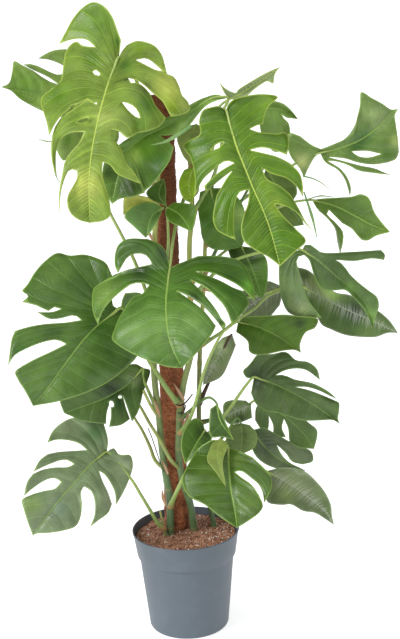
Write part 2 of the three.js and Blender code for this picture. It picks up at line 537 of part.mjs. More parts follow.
    stalk: { vine: 2, route: [[199, 424, 52], [222, 416, 52], [243, 403, 29]] },
    left: [{ edge: [[252, 418], [239, 423], [229, 424], [223, 417]] }],
    right: [{ edge: [[246, 400.5], [232, 400], [224, 403], [223, 417]] }],
  },
  {
    name: "leaf_30", tone: "dark", depth: [10, -60], turn: 0, arch: 12, droop: 18,
    midrib: [[303, 287], [325, 299], [350, 311], [375, 322], [398, 333]],
    stalk: { vine: 2, route: [[201, 345, 58], [222, 332, 37], [240, 318, 11], [255, 308, -10],
      [268, 296, -10],
      [286, 289, 0]] },
    left: [{ edge: [[297, 267], [308, 270], [320, 280], [335, 292], [350, 295], [365, 303], [380, 312],
      [390, 321],
      [398, 333]] }],
    right: [{ edge: [[304, 300], [309, 306], [316, 315], [322, 325], [330, 329], [345, 335], [360, 337],
      [376, 337], [388, 333], [398, 333]] }],
  },
  {
    name: "leaf_31", tone: "dark", depth: [60, 40], turn: 0, arch: 8, droop: 14,
    midrib: [[266, 168], [278, 188], [290, 208], [304, 225]],
    stalk: { vine: 2, route: [[204, 275, 50], [234, 215, 31], [258, 174, 43]] },
    left: [{ edge: [[284, 174], [296, 186], [297, 194], [293, 202], [300, 213], [304, 225]] }],
    right: [{ edge: [[262, 180], [268, 198], [278, 215], [290, 226], [304, 225]] }],
  },
  {
    name: "leaf_32", tone: "dark", depth: [-28, -40], turn: 0, arch: 6, droop: 10,
    midrib: [[196, 124], [190, 142], [196, 166]],
    stalk: { vine: 1, route: [[188.3, 147, 0], [193, 138, -12], [196, 130, -22]] },
    left: [{ edge: [[184, 127], [177, 138], [180, 149], [186, 160], [196, 166]] }],
    right: [{ edge: [[212, 130], [215, 145], [208, 158], [196, 166]] }],
  },
  {
    name: "leaf_33", tone: "dark", depth: [75, 85], turn: 0, arch: 8, droop: 10,
    midrib: [[284, 287], [262, 298], [240, 313]],
    stalk: { vine: 2, route: [[203, 288, 54], [240, 298, 70], [270, 292, 71]] },
    left: [{ edge: [[280, 305], [268, 318], [252, 321], [240, 313]] }],
    right: [{ edge: [[270, 281], [254, 284], [242, 292], [237, 303], [240, 313]] }],
  },
];

const COLOURS = {
  young: 0x86ad35, mid: 0x4c8534, dark: 0x355f29, olive: 0x55752f,
  vine: 0x6f9a5c, pot: 0x68747d, soil: 0x7d4f3a, pole: 0x8a4a33, tie: 0x1d1d1b,
};
const ROUGHNESS = { leaf: 0.45, vine: 0.5, pot: 0.45, soil: 0.95, pole: 0.95, tie: 0.4 };

// The point of the given depth that is seen at [across, down].
const forward = new THREE.Vector3(0, -VIEW.eye.y, VIEW.aimHeight - VIEW.eye.z).normalize();
const level = new THREE.Vector3(1, 0, 0);
const rise = new THREE.Vector3().crossVectors(level, forward);
const lean = THREE.MathUtils.degToRad(VIEW.lean);
const across = level.clone().multiplyScalar(Math.cos(lean)).addScaledVector(rise, -Math.sin(lean));
const upward = rise.clone().multiplyScalar(Math.cos(lean)).addScaledVector(level, Math.sin(lean));

function place(u, v, depth) {
  const ray = forward.clone();
  ray.addScaledVector(across, (u - VIEW.centre[0]) / VIEW.focus);
  ray.addScaledVector(upward, (VIEW.centre[1] - v) / VIEW.focus);
  return VIEW.eye.clone().addScaledVector(ray, (depth - VIEW.eye.y) / ray.y);
}

// A closed geometry as a solid that can be joined and cut.
function solidOf(geometry) {
  const bare = geometry.clone();
  bare.deleteAttribute("normal");
  bare.deleteAttribute("uv");
  const merged = mergeVertices(bare, 1e-3);
  return new wasm.Manifold(
    new wasm.Mesh({
      numProp: 3,
      vertProperties: merged.attributes.position.array,
      triVerts: new Uint32Array(merged.index.array),
    }),
  );
}

// The biggest body of a solid, without the slivers and hair-thin faces that a cut leaves behind.
function mainBody(solid) {
  const biggest = solid.decompose().reduce((best, body) => (body.volume() > best.volume() ? body : best));
  return biggest.simplify(SEAM);
}

function geometryOf(solid) {
  const mesh = solid.getMesh();
  const geometry = new THREE.BufferGeometry();
  geometry.setAttribute("position", new THREE.BufferAttribute(new Float32Array(mesh.vertProperties), 3));
  geometry.setIndex(new THREE.BufferAttribute(new Uint32Array(mesh.triVerts), 1));
  geometry.computeVertexNormals();
  return geometry;
}

function part(name, geometry, colour, roughness) {
  const material = new THREE.MeshStandardMaterial({ color: colour, roughness, metalness: 0 });
  const mesh = new THREE.Mesh(geometry, material);
  mesh.name = name;
  return mesh;
}

// A round tube along a smooth curve through the points, its radius running from the first given to the
// second.
function tube(points, [radius, endRadius], flats, steps) {
  const section = new THREE.Shape();
  for (let i = 0; i < flats; i++) {
    const angle = (2 * Math.PI * i) / flats;
    const [x, y] = [radius * Math.cos(angle), radius * Math.sin(angle)];
    if (i === 0) section.moveTo(x, y);
    else section.lineTo(x, y);
  }
  const extrudePath = new THREE.CatmullRomCurve3(points, false, "centripetal");
  const geometry = new THREE.ExtrudeGeometry(section, { steps, extrudePath, bevelEnabled: false });
  const axis = extrudePath.getSpacedPoints(steps);
  const corners = geometry.attributes.position;
  const corner = new THREE.Vector3();
  for (let i = 0; i < corners.count; i++) {
    corner.fromBufferAttribute(corners, i);
    const spans = axis.map((point) => Math.abs(point.distanceTo(corner) - radius));
    const ring = spans.indexOf(Math.min(...spans));
    const taper = THREE.MathUtils.lerp(1, endRadius / radius, ring / steps);
    corner.sub(axis[ring]).multiplyScalar(taper).add(axis[ring]);
    corners.setXYZ(i, corner.x, corner.y, corner.z);
  }
  return geometry;
}

// The same tube as a solid of convex pieces, one for each step, so that it stays sound in a tight bend.
function stalk(points, [radius, endRadius], flats, steps) {
  const curve = new THREE.CatmullRomCurve3(points, false, "centripetal");
  const frames = curve.computeFrenetFrames(steps);
  const rings = curve.getSpacedPoints(steps).map((centre, i) => {
    const reach = THREE.MathUtils.lerp(radius, endRadius, i / steps);
    return Array.from({ length: flats }, (_, k) => {
      const angle = (2 * Math.PI * k) / flats;
      const corner = centre.clone().addScaledVector(frames.normals[i], reach * Math.cos(angle));
      return corner.addScaledVector(frames.binormals[i], reach * Math.sin(angle)).toArray();
    });
  });
  const pieces = rings.slice(1).map((ring, i) => wasm.Manifold.hull([...rings[i], ...ring]));
  return wasm.Manifold.union(pieces);
}

// A smooth curve through flat [across, down] points, read off at equal distances.
function flatCurve(points) {
  if (points.length === 1) return () => points[0];
  const curve = new THREE.CatmullRomCurve3(
    points.map(([u, v]) => new THREE.Vector3(u, v, 0)),
    false,
    "centripetal",
  );
  return (share) => {
    const at = curve.getPointAt(THREE.MathUtils.clamp(share, 0, 1));
    return [at.x, at.y];
  };
}

const mix = (a, b, share) => [a[0] + (b[0] - a[0]) * share, a[1] + (b[1] - a[1]) * share];
const apart = (a, b) => Math.hypot(a[0] - b[0], a[1] - b[1]);

// How the rows between a root and the edge are shared out: up to the slit, and up to its outer end.
function rowsAlong(root, { slit, close }, end) {
  if (!slit) return [0, ROWS];
  const inner = apart(root, slit);
  const whole = inner + apart(slit, end);
  const first = THREE.MathUtils.clamp(Math.round((ROWS * inner) / whole), 1, ROWS - 1);
  return close ? [1, ROWS - 1] : [first, ROWS];
}

// One side of a lobe, a point for each row from the midrib to the edge.
function sideOfLobe(root, cut, bends, end, [first, last]) {
  const open = flatCurve([cut.slit ?? root, ...bends, cut.close ?? end]);
  const points = [];
  for (let row = 0; row <= ROWS; row++) {
    if (row < first) points.push(mix(root, cut.slit, row / first));
    else if (row <= last) points.push(open((row - first) / (last - first)));
    else points.push(mix(cut.close, end, (row - last) / (ROWS - last)));
  }
  return points;
}

// The rows and columns of one lobe, blended from its midrib stretch, its edge and its two sides.
function lobeGrid(low, high, stretch, edge, columns) {
  const grid = [];
  for (let row = 0; row <= ROWS; row++) {
    const out = row / ROWS;
    const line = [];
    for (let column = 0; column <= columns; column++) {
      const side = column / columns;
      const point = [0, 1].map((axis) => {
        const between = (1 - side) * low[row][axis] + side * high[row][axis];
        const outward = (1 - out) * stretch(side)[axis] + out * edge(side)[axis];
        const inner = (1 - side) * low[0][axis] + side * high[0][axis];
        const outer = (1 - side) * low[ROWS][axis] + side * high[ROWS][axis];
        return between + outward - (1 - out) * inner - out * outer;
      });
      line.push(point);
    }
    grid.push(line);
  }
  return grid;
}

// Spreads out the inner points of a lobe's grid, so that no row crosses another where the lobe bends.
function evened(grid) {
  for (let pass = 0; pass < EVENING_PASSES; pass++) {
    for (let i = 1; i < grid.length - 1; i++) {
      for (let j = 1; j < grid[i].length - 1; j++) {
        const [out, back] = [grid[i + 1], grid[i - 1]];
        const [next, last] = [grid[i][j + 1], grid[i][j - 1]];
        const steps = [0, 1].map((axis) => [(out[j][axis] - back[j][axis]) / 2, (next[axis] - last[axis]) / 2]);
        const outward = steps[0][0] ** 2 + steps[1][0] ** 2;
        const sideways = steps[0][1] ** 2 + steps[1][1] ** 2;
        const skew = steps[0][0] * steps[0][1] + steps[1][0] * steps[1][1];
        grid[i][j] = [0, 1].map((axis) => {
          const corners = out[j + 1][axis] - out[j - 1][axis] - back[j + 1][axis] + back[j - 1][axis];
          const pulled = sideways * (out[j][axis] + back[j][axis]) + outward * (next[axis] + last[axis]);
          return (pulled - (skew * corners) / 2) / (2 * (outward + sideways));
        });
      }
    }
  }
  return grid;
}

// A flat sheet of triangles that grows lobe by lobe; points that coincide are one vertex.
class Sheet {
  constructor() {
    this.points = [];
    this.triangles = [];
    this.known = new Map();
  }

  vertex([u, v]) {
    const key = u.toFixed(2) + "," + v.toFixed(2);
    if (!this.known.has(key)) {
      this.known.set(key, this.points.length);
      this.points.push([u, v]);
    }
    return this.known.get(key);
  }

  triangle(a, b, c, turned) {
    const corners = [a, b, c].map((point) => this.vertex(point));
    if (new Set(corners).size < 3) return;
    this.triangles.push(turned ? corners.reverse() : corners);
  }

  // Triangles between two lines of points that may differ in number.
  strip(near, far, turned) {
    let i = 0;
    let j = 0;
    while (i < near.length - 1 || j < far.length - 1) {
      const nearNext = (i + 1) / Math.max(1, near.length - 1);
      const farNext = (j + 1) / Math.max(1, far.length - 1);
      if (j === far.length - 1 || (i < near.length - 1 && nearNext <= farNext)) {
        this.triangle(near[i], near[i + 1], far[j], turned);
        i++;
      } else {
        this.triangle(near[i], far[j + 1], far[j], turned);
        j++;
      }
    }
  }
}

// One half of a blade: its lobes in order from the base to the tip.
function addHalf(sheet, leaf, lobes, midrib, roots, turned) {
  let from = 0;
  let cut = {};
  let split = [0, ROWS];
  for (const lobe of lobes) {
    const to = lobe.root ?? 1;
    const nextCut = { slit: lobe.slit, close: lobe.close };
    const end = lobe.edge.at(-1);
    const nextSplit = rowsAlong(midrib(to), nextCut, end);
    const low = sideOfLobe(midrib(from), cut, lobe.low ?? [], lobe.edge[0], split);
    const high = sideOfLobe(midrib(to), nextCut, lobe.high ?? [], end, nextSplit);
    const columns = THREE.MathUtils.clamp(lobe.edge.length - 1, 2, MOST_COLUMNS);
    const stretch = (side) => midrib(from + (to - from) * side);
    const grid = evened(lobeGrid(low, high, stretch, flatCurve(lobe.edge), columns));
    const spine = roots.filter((root) => root >= from - 1e-6 && root <= to + 1e-6).map(midrib);
    sheet.strip(spine, grid[1], turned);
    for (let row = 1; row < ROWS; row++) sheet.strip(grid[row], grid[row + 1], turned);
    [from, cut, split] = [to, nextCut, nextSplit];
  }
}

// The depth of a blade at [across, down]: a leaning plane, arched along the midrib, its edges drooping.
function depthOf(leaf, [u, v]) {
  const base = leaf.midrib[0];
  const tip = leaf.midrib.at(-1);
  const length = apart(base, tip);
  const [du, dv] = [(tip[0] - base[0]) / length, (tip[1] - base[1]) / length];
  const way = ((u - base[0]) * du + (v - base[1]) * dv) / length;
  const along = way < 0 ? BASAL_LEAN * way : way;
  const aside = (v - base[1]) * du - (u - base[0]) * dv;
  const slope = leaf.depth[0] + (leaf.depth[1] - leaf.depth[0]) * along;
  return slope - leaf.arch * 4 * along * (1 - along) + leaf.droop * (aside / 50) ** 2 + leaf.turn * aside;
}

// Gives a sheet of points a thickness, half to each side along its normals, and closes its edges.
function thicken(points, triangles, thickness) {
  const normals = points.map(() => new THREE.Vector3());
  const edges = new Map();
  for (const [a, b, c] of triangles) {
    const first = points[b].clone().sub(points[a]);
    const second = points[c].clone().sub(points[a]);
    const face = first.cross(second);
    for (const corner of [a, b, c]) normals[corner].add(face);
    for (const [from, to] of [[a, b], [b, c], [c, a]]) edges.set(from + "," + to, [from, to]);
  }
  normals.forEach((normal) => normal.normalize());
  const count = points.length;
  const positions = [];
  for (const side of [0.5, -0.5]) {
    points.forEach((point, i) => positions.push(...point.clone().addScaledVector(normals[i],
      side * thickness)));
  }
  const index = [];
  for (const [a, b, c] of triangles) index.push(a, b, c, c + count, b + count, a + count);
  for (const [from, to] of edges.values()) {
    if (edges.has(to + "," + from)) continue;
    index.push(to, from, from + count, to, from + count, to + count);
  }
  const geometry = new THREE.BufferGeometry();
  geometry.setAttribute("position", new THREE.BufferAttribute(new Float32Array(positions), 3));
  geometry.setIndex(index);
  return geometry;
}

function blade(leaf) {
  const sheet = new Sheet();
  const midrib = flatCurve(leaf.midrib);
  const lobes = [...leaf.left, ...leaf.right];
  const steps = Array.from({ length: RIB_STEPS + 1 }, (_, i) => i / RIB_STEPS);
  const roots = [...new Set([...steps, ...lobes.map((lobe) => lobe.root ?? 1)])].sort((a, b) => a - b);
  addHalf(sheet, leaf, leaf.left, midrib, roots, false);
  addHalf(sheet, leaf, leaf.right, midrib, roots, true);
  const points = sheet.points.map((point) => place(...point, depthOf(leaf, point)));
  return thicken(points, sheet.triangles, LEAF_THICKNESS);
}

const routeOf = (stem) => stem.route.map((spot) => place(...spot));

const axisOf = (vine) => new THREE.CatmullRomCurve3(routeOf(vine), false, "centripetal");

// A vine with its stubs, all grown by the given clearance.
function vineBody(vine, clearance) {
  const grown = (radii) => radii.map((radius) => radius + clearance);
  const steps = 2 * (vine.route.length - 1);
  const route = routeOf(vine);
  const down = route[0].clone().sub(route[1]).normalize();
  route[0].addScaledVector(down, clearance);
  let body = solidOf(tube(route, grown(vine.radius), VINE_FLATS, steps));
  for (const stub of vine.stubs) {
    body = body.add(solidOf(tube(routeOf(stub), grown(stub.radius), PETIOLE_FLATS,
      2 * stub.route.length)));
  }
  return body.simplify(SEAM);
}

// A leaf in one piece: its blade and its petiole, which stops just clear of the vine it grows from.
function leafPart(leaf, vineClear) {
  const route = leaf.stalk.route.map((spot) => place(...spot));
  const base = leaf.midrib[0];
  const inside = flatCurve(leaf.midrib)(PETIOLE.lap);
  route.push(place(...base, depthOf(leaf, base)), place(...inside, depthOf(leaf, inside)));
  const vine = VINES[leaf.stalk.vine];
  const axis = axisOf(vine).getPoints(AXIS_STEPS);
  const start = route[0];
  route[0] = axis.reduce((best, point) => (point.distanceTo(start) < best.distanceTo(start) ? point : best));
  const petiole = stalk(route, [PETIOLE.foot, PETIOLE.tip], PETIOLE_FLATS, route.length + 3);
  const whole = leaf.fold ? solidOf(blade(leaf)).add(solidOf(blade(leaf.fold))) : solidOf(blade(leaf));
  const grown = whole.add(petiole).subtract(vineClear[leaf.stalk.vine]);
  return part(leaf.name, geometryOf(mainBody(grown)), COLOURS[leaf.tone], ROUGHNESS.leaf);
}

// The pot: a tapered shell with a deep collar under its rim, and drain holes in its floor.
function potShell() {
  const foot = POT_SIDE[0];
  const collar = POT_SIDE.at(-1);
  const outer = [[0, 0], [foot[1] - POT.corner, 0],
    ...POT_SIDE.map(([height, radius]) => [radius, height])];
  const lip = collar[1] + POT.lip;
  const rim = [[lip, collar[0] + POT.lipSlope], [lip, POT.height],
    [insideRadius(POT.height), POT.height]];
  const inner = POT_SIDE.toReversed().slice(1, -1).map(([height, radius]) => [radius - POT.wall, height]);
  const bend = POT.floor + POT.fillet;
  const base = [[insideRadius(bend), bend], [foot[1] - POT.fillet, POT.floor], [0, POT.floor]];
  const profile = [...outer, ...rim, ...inner, ...base].map(([x, y]) => new THREE.Vector2(x, y));
  const shell = new THREE.LatheGeometry(profile, ROUND).rotateX(Math.PI / 2);
  let solid = solidOf(shell);
  for (let i = 0; i < DRAIN.count; i++) {
    const angle = (2 * Math.PI * (i + 0.5)) / DRAIN.count;
    const hole = new THREE.CylinderGeometry(DRAIN.radius, DRAIN.radius, 4 * POT.floor, HOLE_FLATS);
    hole.rotateX(Math.PI / 2);
    hole.translate(DRAIN.ring * Math.cos(angle), DRAIN.ring * Math.sin(angle), POT.floor / 2);
    solid = solid.subtract(solidOf(hole));
  }
  return geometryOf(solid);
}

// The pot's inner radius at a height.
function insideRadius(height) {
  const above = POT_SIDE.findIndex((spot, i) => i > 0 && height <= spot[0]);
  const [low, high] = above > 0 ? [POT_SIDE[above - 1], POT_SIDE[above]] : POT_SIDE.slice(-2);
  return THREE.MathUtils.mapLinear(height, low[0], high[0], low[1], high[1]) - POT.wall;
}

// The soil fills the pot to just below the rim; the pole and the vines stand in it.
function soilBody(standing) {
  const bottom = POT.floor + GAP;
  const heights = [POT.floor + POT.fillet + 1, POT_SIDE[1][0], POT_SIDE[2][0] + 1, SOIL.edge];
  const side = heights.map((height) => [insideRadius(height) - 1.5 * GAP, height]);
  const profile = [[0, bottom], [side[0][0] - POT.fillet, bottom],
    ...side, SOIL.shoulder, [0, SOIL.middle]];
  const points = profile.map(([x, y]) => new THREE.Vector2(x, y));
  const body = solidOf(new THREE.LatheGeometry(points, ROUND).rotateX(Math.PI / 2));
  return geometryOf(mainBody(standing.reduce((left, piece) => left.subtract(piece), body)));
}

function poleRod(radius, beyond = 0) {
  const foot = new THREE.Vector3(...POLE.foot);
  const top = new THREE.Vector3(...POLE.top);
  const line = top.clone().sub(foot).normalize();
  foot.addScaledVector(line, -beyond);
  const length = top.distanceTo(foot);
  const rod = new THREE.CylinderGeometry(radius, radius, length, POLE_FLATS);
  rod.translate(0, length / 2, 0);
  rod.applyQuaternion(new THREE.Quaternion().setFromUnitVectors(new THREE.Vector3(0, 1, 0), line));
  rod.translate(foot.x, foot.y, foot.z);
  return rod;
}

// The point where a line of points rises through a height, and how far along the line that is.
function crossing(line, height) {
  const next = line.findIndex((point, i) => i > 0 && point.z >= height && line[i - 1].z < height);
  const share = (height - line[next - 1].z) / (line[next].z - line[next - 1].z);
  return { centre: line[next - 1].clone().lerp(line[next],
    share), along: (next - 1 + share) / (line.length - 1) };
}

// The tie: an open loop of wire, level, round the pole and the vine that it holds.
function tieWire() {
  const vine = VINES[TIE.vine];
  const poleAxis = [new THREE.Vector3(...POLE.foot), new THREE.Vector3(...POLE.top)];
  const atPole = crossing(poleAxis, TIE.height);
  const atVine = crossing(axisOf(vine).getSpacedPoints(AXIS_STEPS), TIE.height);
  const held = [
    { centre: atPole.centre, reach: POLE.radius + GAP + TIE.radius },
    { centre: atVine.centre, reach: THREE.MathUtils.lerp(...vine.radius,
      atVine.along) + GAP + TIE.radius },
  ];
  const points = [];
  for (let i = 0; i <= TIE.steps; i++) {
    const angle = THREE.MathUtils.degToRad(TIE.from + ((TIE.to - TIE.from) * i) / TIE.steps);
    const outward = new THREE.Vector3(Math.cos(angle), Math.sin(angle), 0);
    const reached = held.map(({ centre, reach }) => centre.clone().addScaledVector(outward, reach));
    points.push(reached.reduce((best, point) => (point.dot(outward) > best.dot(outward) ? point : best)));
  }
  return tube(points, [TIE.radius, TIE.radius], PETIOLE_FLATS, TIE.steps);
}

const root = new THREE.Group();
root.name = "potted_monstera";
root.add(part("pot", potShell(), COLOURS.pot, ROUGHNESS.pot));
const vineClear = VINES.map((vine) => vineBody(vine, GAP));
const poleClear = solidOf(poleRod(POLE.radius + GAP, GAP));
root.add(part("soil", soilBody([poleClear, ...vineClear]), COLOURS.soil, ROUGHNESS.soil));
root.add(part("pole", poleRod(POLE.radius), COLOURS.pole, ROUGHNESS.pole));
for (const vine of VINES) root.add(part(vine.name, geometryOf(vineBody(vine, 0)), COLOURS.vine,
  ROUGHNESS.vine));
root.add(part("tie", tieWire(), COLOURS.tie, ROUGHNESS.tie));
for (const leaf of LEAVES) root.add(leafPart(leaf, vineClear));

export default root;
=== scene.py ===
# A potted monstera: split leaves on long stalks, four vines climbing a coir pole, soil and a nursery pot.
# The measures are the CAD model's, in millimetres, and are turned to metres where a piece is made.
import math
import random

import bmesh
import bpy
import numpy as np
from mathutils import Euler, Matrix, Vector, noise


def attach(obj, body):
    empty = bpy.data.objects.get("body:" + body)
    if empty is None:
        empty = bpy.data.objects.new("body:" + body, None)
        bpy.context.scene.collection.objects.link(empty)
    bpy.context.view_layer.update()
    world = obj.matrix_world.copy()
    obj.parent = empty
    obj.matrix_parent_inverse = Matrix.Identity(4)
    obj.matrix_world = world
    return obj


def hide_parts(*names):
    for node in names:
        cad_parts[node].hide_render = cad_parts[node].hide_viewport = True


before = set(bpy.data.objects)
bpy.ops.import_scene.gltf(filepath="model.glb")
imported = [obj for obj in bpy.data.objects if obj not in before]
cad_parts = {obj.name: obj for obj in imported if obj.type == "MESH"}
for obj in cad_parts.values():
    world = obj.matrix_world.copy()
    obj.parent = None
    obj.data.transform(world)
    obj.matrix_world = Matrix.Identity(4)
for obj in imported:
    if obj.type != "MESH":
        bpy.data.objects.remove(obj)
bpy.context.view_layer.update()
bpy.ops.object.select_all(action="DESELECT")

MM = 0.001
FULL_TURN = 6.28  # the widest random turn, in radians
TINY = 1e-9       # keeps a division by nothing finite

# The pot's outside from the foot up to the rim's inner edge, and its inside from there down to the floor, as
# [radius, height]
POT_OUTSIDE = [(84, 0), (88, 1.2), (89.6, 4), (90, 8), (98, 88), (105.4, 162), (106, 168), (106.6, 170.4),
               (110.2, 171.6), (111, 173.5), (114.5, 198), (118.4, 225), (119.4, 226), (120, 227.2),
               (120, 229), (119.3, 230), (117.6, 230)]
POT_INSIDE = [(116.8, 229.2), (116.3, 226), (112, 196), (108.6, 174), (107.6, 172), (103.5, 168),
              (95.5, 88), (88.4, 14), (86, 7), (80, 3.4), (74, 3)]
POT_FLATS = 128
SHARP_EDGE = math.radians(35)
DRAIN = dict(count=6, radius=6, ring=58, flats=24, depth=12, middle=1.5)  # the drilled drain holes

# The soil's side as [radius, height]. Its top, whose vertices lie above the seam, is heaped towards the pole:
# it has the heights middle, shoulder (as radius and height) and edge, and its lumps fade towards the rim.
SOIL_SIDE = [(78, 3.3), (86, 16), (103, 168), (107.5, 174), (112.6, 208)]
SOIL = dict(edge=214, shoulder=(60, 219), middle=222, flats=96, rings=28, seam=207.9, reach=112, rim=113)
SOIL_LUMPS = [(17, 3.1, 2.6), (6, 8.7, 1.3)]  # width, layer of the noise and height
POLE = dict(radius=27.5, foot=(-21, 25, 20), top=(-14, 25, 1190), flats=56, rings=170)
COIR_DEPTH = 1.6  # mm that the coir's side lies below the pole's radius before its roughness
COIR_LUMPS = [(14, 1.8), (4.5, 1.1)]   # width and height
BINDING = dict(pitch=11, depth=0.5)    # the turns of the binding: mm to a radian, and half their depth
# The coir's loose fibres: the least and most of their length, bow, radius and slant, and a bow's unevenness
FIBRE = dict(steps=4, length=(8, 22), bow=(0.4, 3.2), radius=(0.22, 0.5), slant=(-1.2, 1.2),
             uneven=(0.4, 1.2), sunk=1.2)
# Crumbs and grains: the least and most of their dents and of their stretch along three axes
GRAIN = dict(dent=(0.6, 1.25), stretch=((0.7, 1.5), (0.7, 1.3), (0.5, 0.9)), highest=0.5)
TIE = dict(radius=1.3, height=508, vine=1, start=-120, end=215, steps=60, gap=0.3, pressed=0.9)

# Stems, in mm: flats round them, the length of a step along them, their nodes and swellings, and how much
# slimmer they are than their CAD solids
VINE = dict(flats=20, step=3.0, first_node=(30, 60), node_spacing=(60, 120), swelling=0.9,
            swelling_length=7, ring_length=2.5, ring_share=0.35, slimmer=0.35)
STALK = dict(flats=12, step=4.0)
PETIOLE = dict(foot=5, tip=3, slimmer=0.6, clasp=2.6, clasp_length=22, joint=0.9, taper=0.75,
               scar=6, scar_length=7)
LAP = [(0.0, 0.5), (0.07, 2.0), (0.16, 2.6)]  # a petiole on the midrib: share of its length, mm behind it
TRIM = dict(flats=10, step=2.0, least=0.25)

# A blade's mesh
ROWS = 14                 # rows of a lobe from the midrib to the edge
RIB_STEPS = 50            # steps along a midrib
COLUMNS = (6, 48)         # fewest and most columns of a lobe
COLUMN_WIDTH = 6          # mm of edge to a column
VEIN_SPACING = 30         # mm between side veins
EVENING_PASSES = 12

# A blade's shape; the relief is that of a large leaf, in mm
BLADE_THICKNESS = 1.3
BASAL_LEAN = 0.35         # how much of a blade's tilt its lobes behind the base follow
DROOP_SPAN = 50           # squares beside the midrib at which the blade has sunk by its droop
LARGE_LEAF = 90           # mm from the midrib to the edge
PUFF, PUFF_START = 2.6, 14    # swelling between two veins, and how far from the midrib it is full
FOLD, FOLD_WIDTH = 3.0, 7     # the midrib's fold
WAVE, WAVE_STEP = 4.0, 2.1    # the edge's wave, and its turn from vein to vein
EDGE_THICKNESS, EDGE_WIDTH = 0.35, 4  # the share of the blade's thickness left at its edge, and how wide
BOW, HANG, LIFT, TWIST = 6.0, -7.0, 5.0, 7.0  # of a lobe, and of its free end
FREE_START = 1.3          # the power of the way out, by which a free side starts to lift
LIGHTEST = 0.8            # the most that a leaf's red, green or blue may be

# The photograph's camera, in mm. A place on the plant is [across, down] in its picture of 400 x 639 squares,
# with the depth behind (+) or in front (-) of the pot's centre.
EYE = np.array([50.0, -2700.0, 1430.0])
AIM_HEIGHT = 712
LEAN = math.radians(2.2)
CENTRE = (200, 319.5)
FOCUS = 1298
FRAME_HEIGHT = 639
SENSOR = 36
SQUARES_PER_MM = 0.4446  # the picture's scale at the pot

# Stems: a vine's axis from foot to top as [across, down, depth], its radius at both ends, and its stubs
VINES = [
    dict(name="vine_1", radius=(8.5, 5.5),
         route=[(172, 545, -10), (170.5, 531, -10), (169.5, 497, -12), (164.5, 468, -13), (161, 440, -12),
                (158.5, 412, -9), (155, 385, -7), (153.5, 355, -6), (154, 320, -8), (154, 280, -10),
                (154.5, 240, -12), (157, 205, -14), (158, 165, -14)],
         stubs=[dict(radius=(4.5, 2.5), route=[(165, 470, -13), (155, 460, -10), (150, 447, 0),
                                               (142, 430, 8), (134, 417, 14), (126, 400, 18)]),
                dict(radius=(4, 3), route=[(158.5, 417, -9), (150, 404, -20), (143.5, 390.5, -23)])]),
    dict(name="vine_2", radius=(8.5, 5),
         route=[(196, 545, 4), (194, 529, 4), (190, 503, -4), (183, 482, -11), (179, 458, -13),
                (179, 430, -12), (180.5, 402, -12), (185, 378, -12), (190, 358, -10), (191, 325, -8),
                (190, 290, -6), (189.5, 245, -6), (192, 212, -6), (191, 175, -4), (188, 145, 0)],
         stubs=[dict(radius=(4.5, 3), route=[(179, 468, -13), (171, 460, -30), (160, 440, -32),
                                             (150, 424, -14), (141, 408, 12), (133, 396, 22)])]),
    dict(name="vine_3", radius=(6.5, 4.5), stubs=[],
         route=[(216, 543, 26), (214, 527, 28), (207, 490, 40), (200, 450, 48), (199, 400, 55),
                (200, 350, 58), (203, 300, 55), (205, 250, 45), (206, 215, 40)]),
    dict(name="vine_4", radius=(3.5, 2.5), stubs=[],
         route=[(166, 548, -18), (165.5, 536, -18), (163, 524, -20), (160, 511, -22)]),
]

# What each kind of mottle multiplies the red, green and blue of a leaf's own colour by. The mottles are
# partly the leaf's own colour and partly painted light and shade: the lighter kinds are painted sheen and
# highlights, and the darker kinds, deep and shaded above all, are painted shade where leaves overlap.
PAINTED_LIGHT_AND_MOTTLES = {
    "deep": (0.3, 0.32, 0.3), "shaded": (0.35, 0.57, 0.3), "rich": (0.57, 0.75, 0.33),
    "dull": (0.64, 0.72, 0.5), "yellowed": (0.95, 1.05, 0.34), "cool": (0.77, 0.8, 1.0),
    "painted_brightness": (1.15, 1.25, 0.75), "pale": (1.45, 1.3, 1.45), "painted_sheen": (1.8, 1.5, 2.6),
    "painted_highlight": (2.5, 1.85, 2.75), "painted_glare": (2.75, 2.75, 2.75),
}

LEAVES = []


def leaf(name, tone, tint, **shape):
    """Starts a leaf. vine and stalk give its petiole, midrib runs from the base to the tip, depth is that of
    both, turn leans the blade sideways, arch brings its middle forward and droop takes its edges back. holes
    are [across, down, half the length, half the width, slope], mottles [across, down, reach, kind]: soft
    spots that are partly the leaf's own colour and partly painted light and shade. The tint, too, holds some
    painted light and shade."""
    LEAVES.append(dict(name=name, tone=tone, tint=tint, left=[], right=[], **shape))


def fold(tint, **shape):
    """Starts the bent-over part of the last leaf."""
    LEAVES[-1]["fold"] = dict(tint=tint, left=[], right=[], **shape)


def lobe(half, *edge, **sides):
    """Adds a lobe to a half of what was started last, from the base on: its edge, root as the share of the
    midrib where it ends, slit as the inner end of the slit after it, close as the outer end where it is
    a hole, and low and high as the bends of its two sides."""
    LEAVES[-1].get("fold", LEAVES[-1])[half].append(dict(edge=edge, **sides))


leaf("leaf_01", "young", "#718B30", depth=(-60, -230), turn=0, arch=35, droop=28, vine=0,
    stalk=[(161, 172, -20), (149, 112, -12), (128, 66, -38)],
    midrib=[(119, 57), (110, 78), (103, 100), (97, 124), (92, 150), (89, 178), (90, 223)],
    holes=[(96.5, 73, 3.8, 2.4, 0.5), (95.5, 103.5, 2.7, 1.4, 1.6), (83.5, 120.5, 7.5, 1.9, -0.3),
    (73, 106.5, 3.2, 1.5, -0.4)],
    mottles=[(95, 18, 32, "rich"), (168, 88, 22, "painted_highlight"), (148, 105, 17, "shaded"),
    (140, 124, 10, "rich"), (58, 95, 20, "rich"), (86, 185, 20, "painted_highlight"), (172, 108, 10, "yellowed"),
    (125, 65, 10, "shaded"), (145, 88, 10, "deep"), (118, 42, 8, "shaded"), (75, 120, 10, "dull"),
    (105, 118, 14, "painted_sheen"), (184, 106, 9, "painted_sheen"), (92, 58, 12, "rich"), (85, 92, 12, "dull"),
    (118, 60, 8, "pale"), (140, 50, 9, "yellowed")])
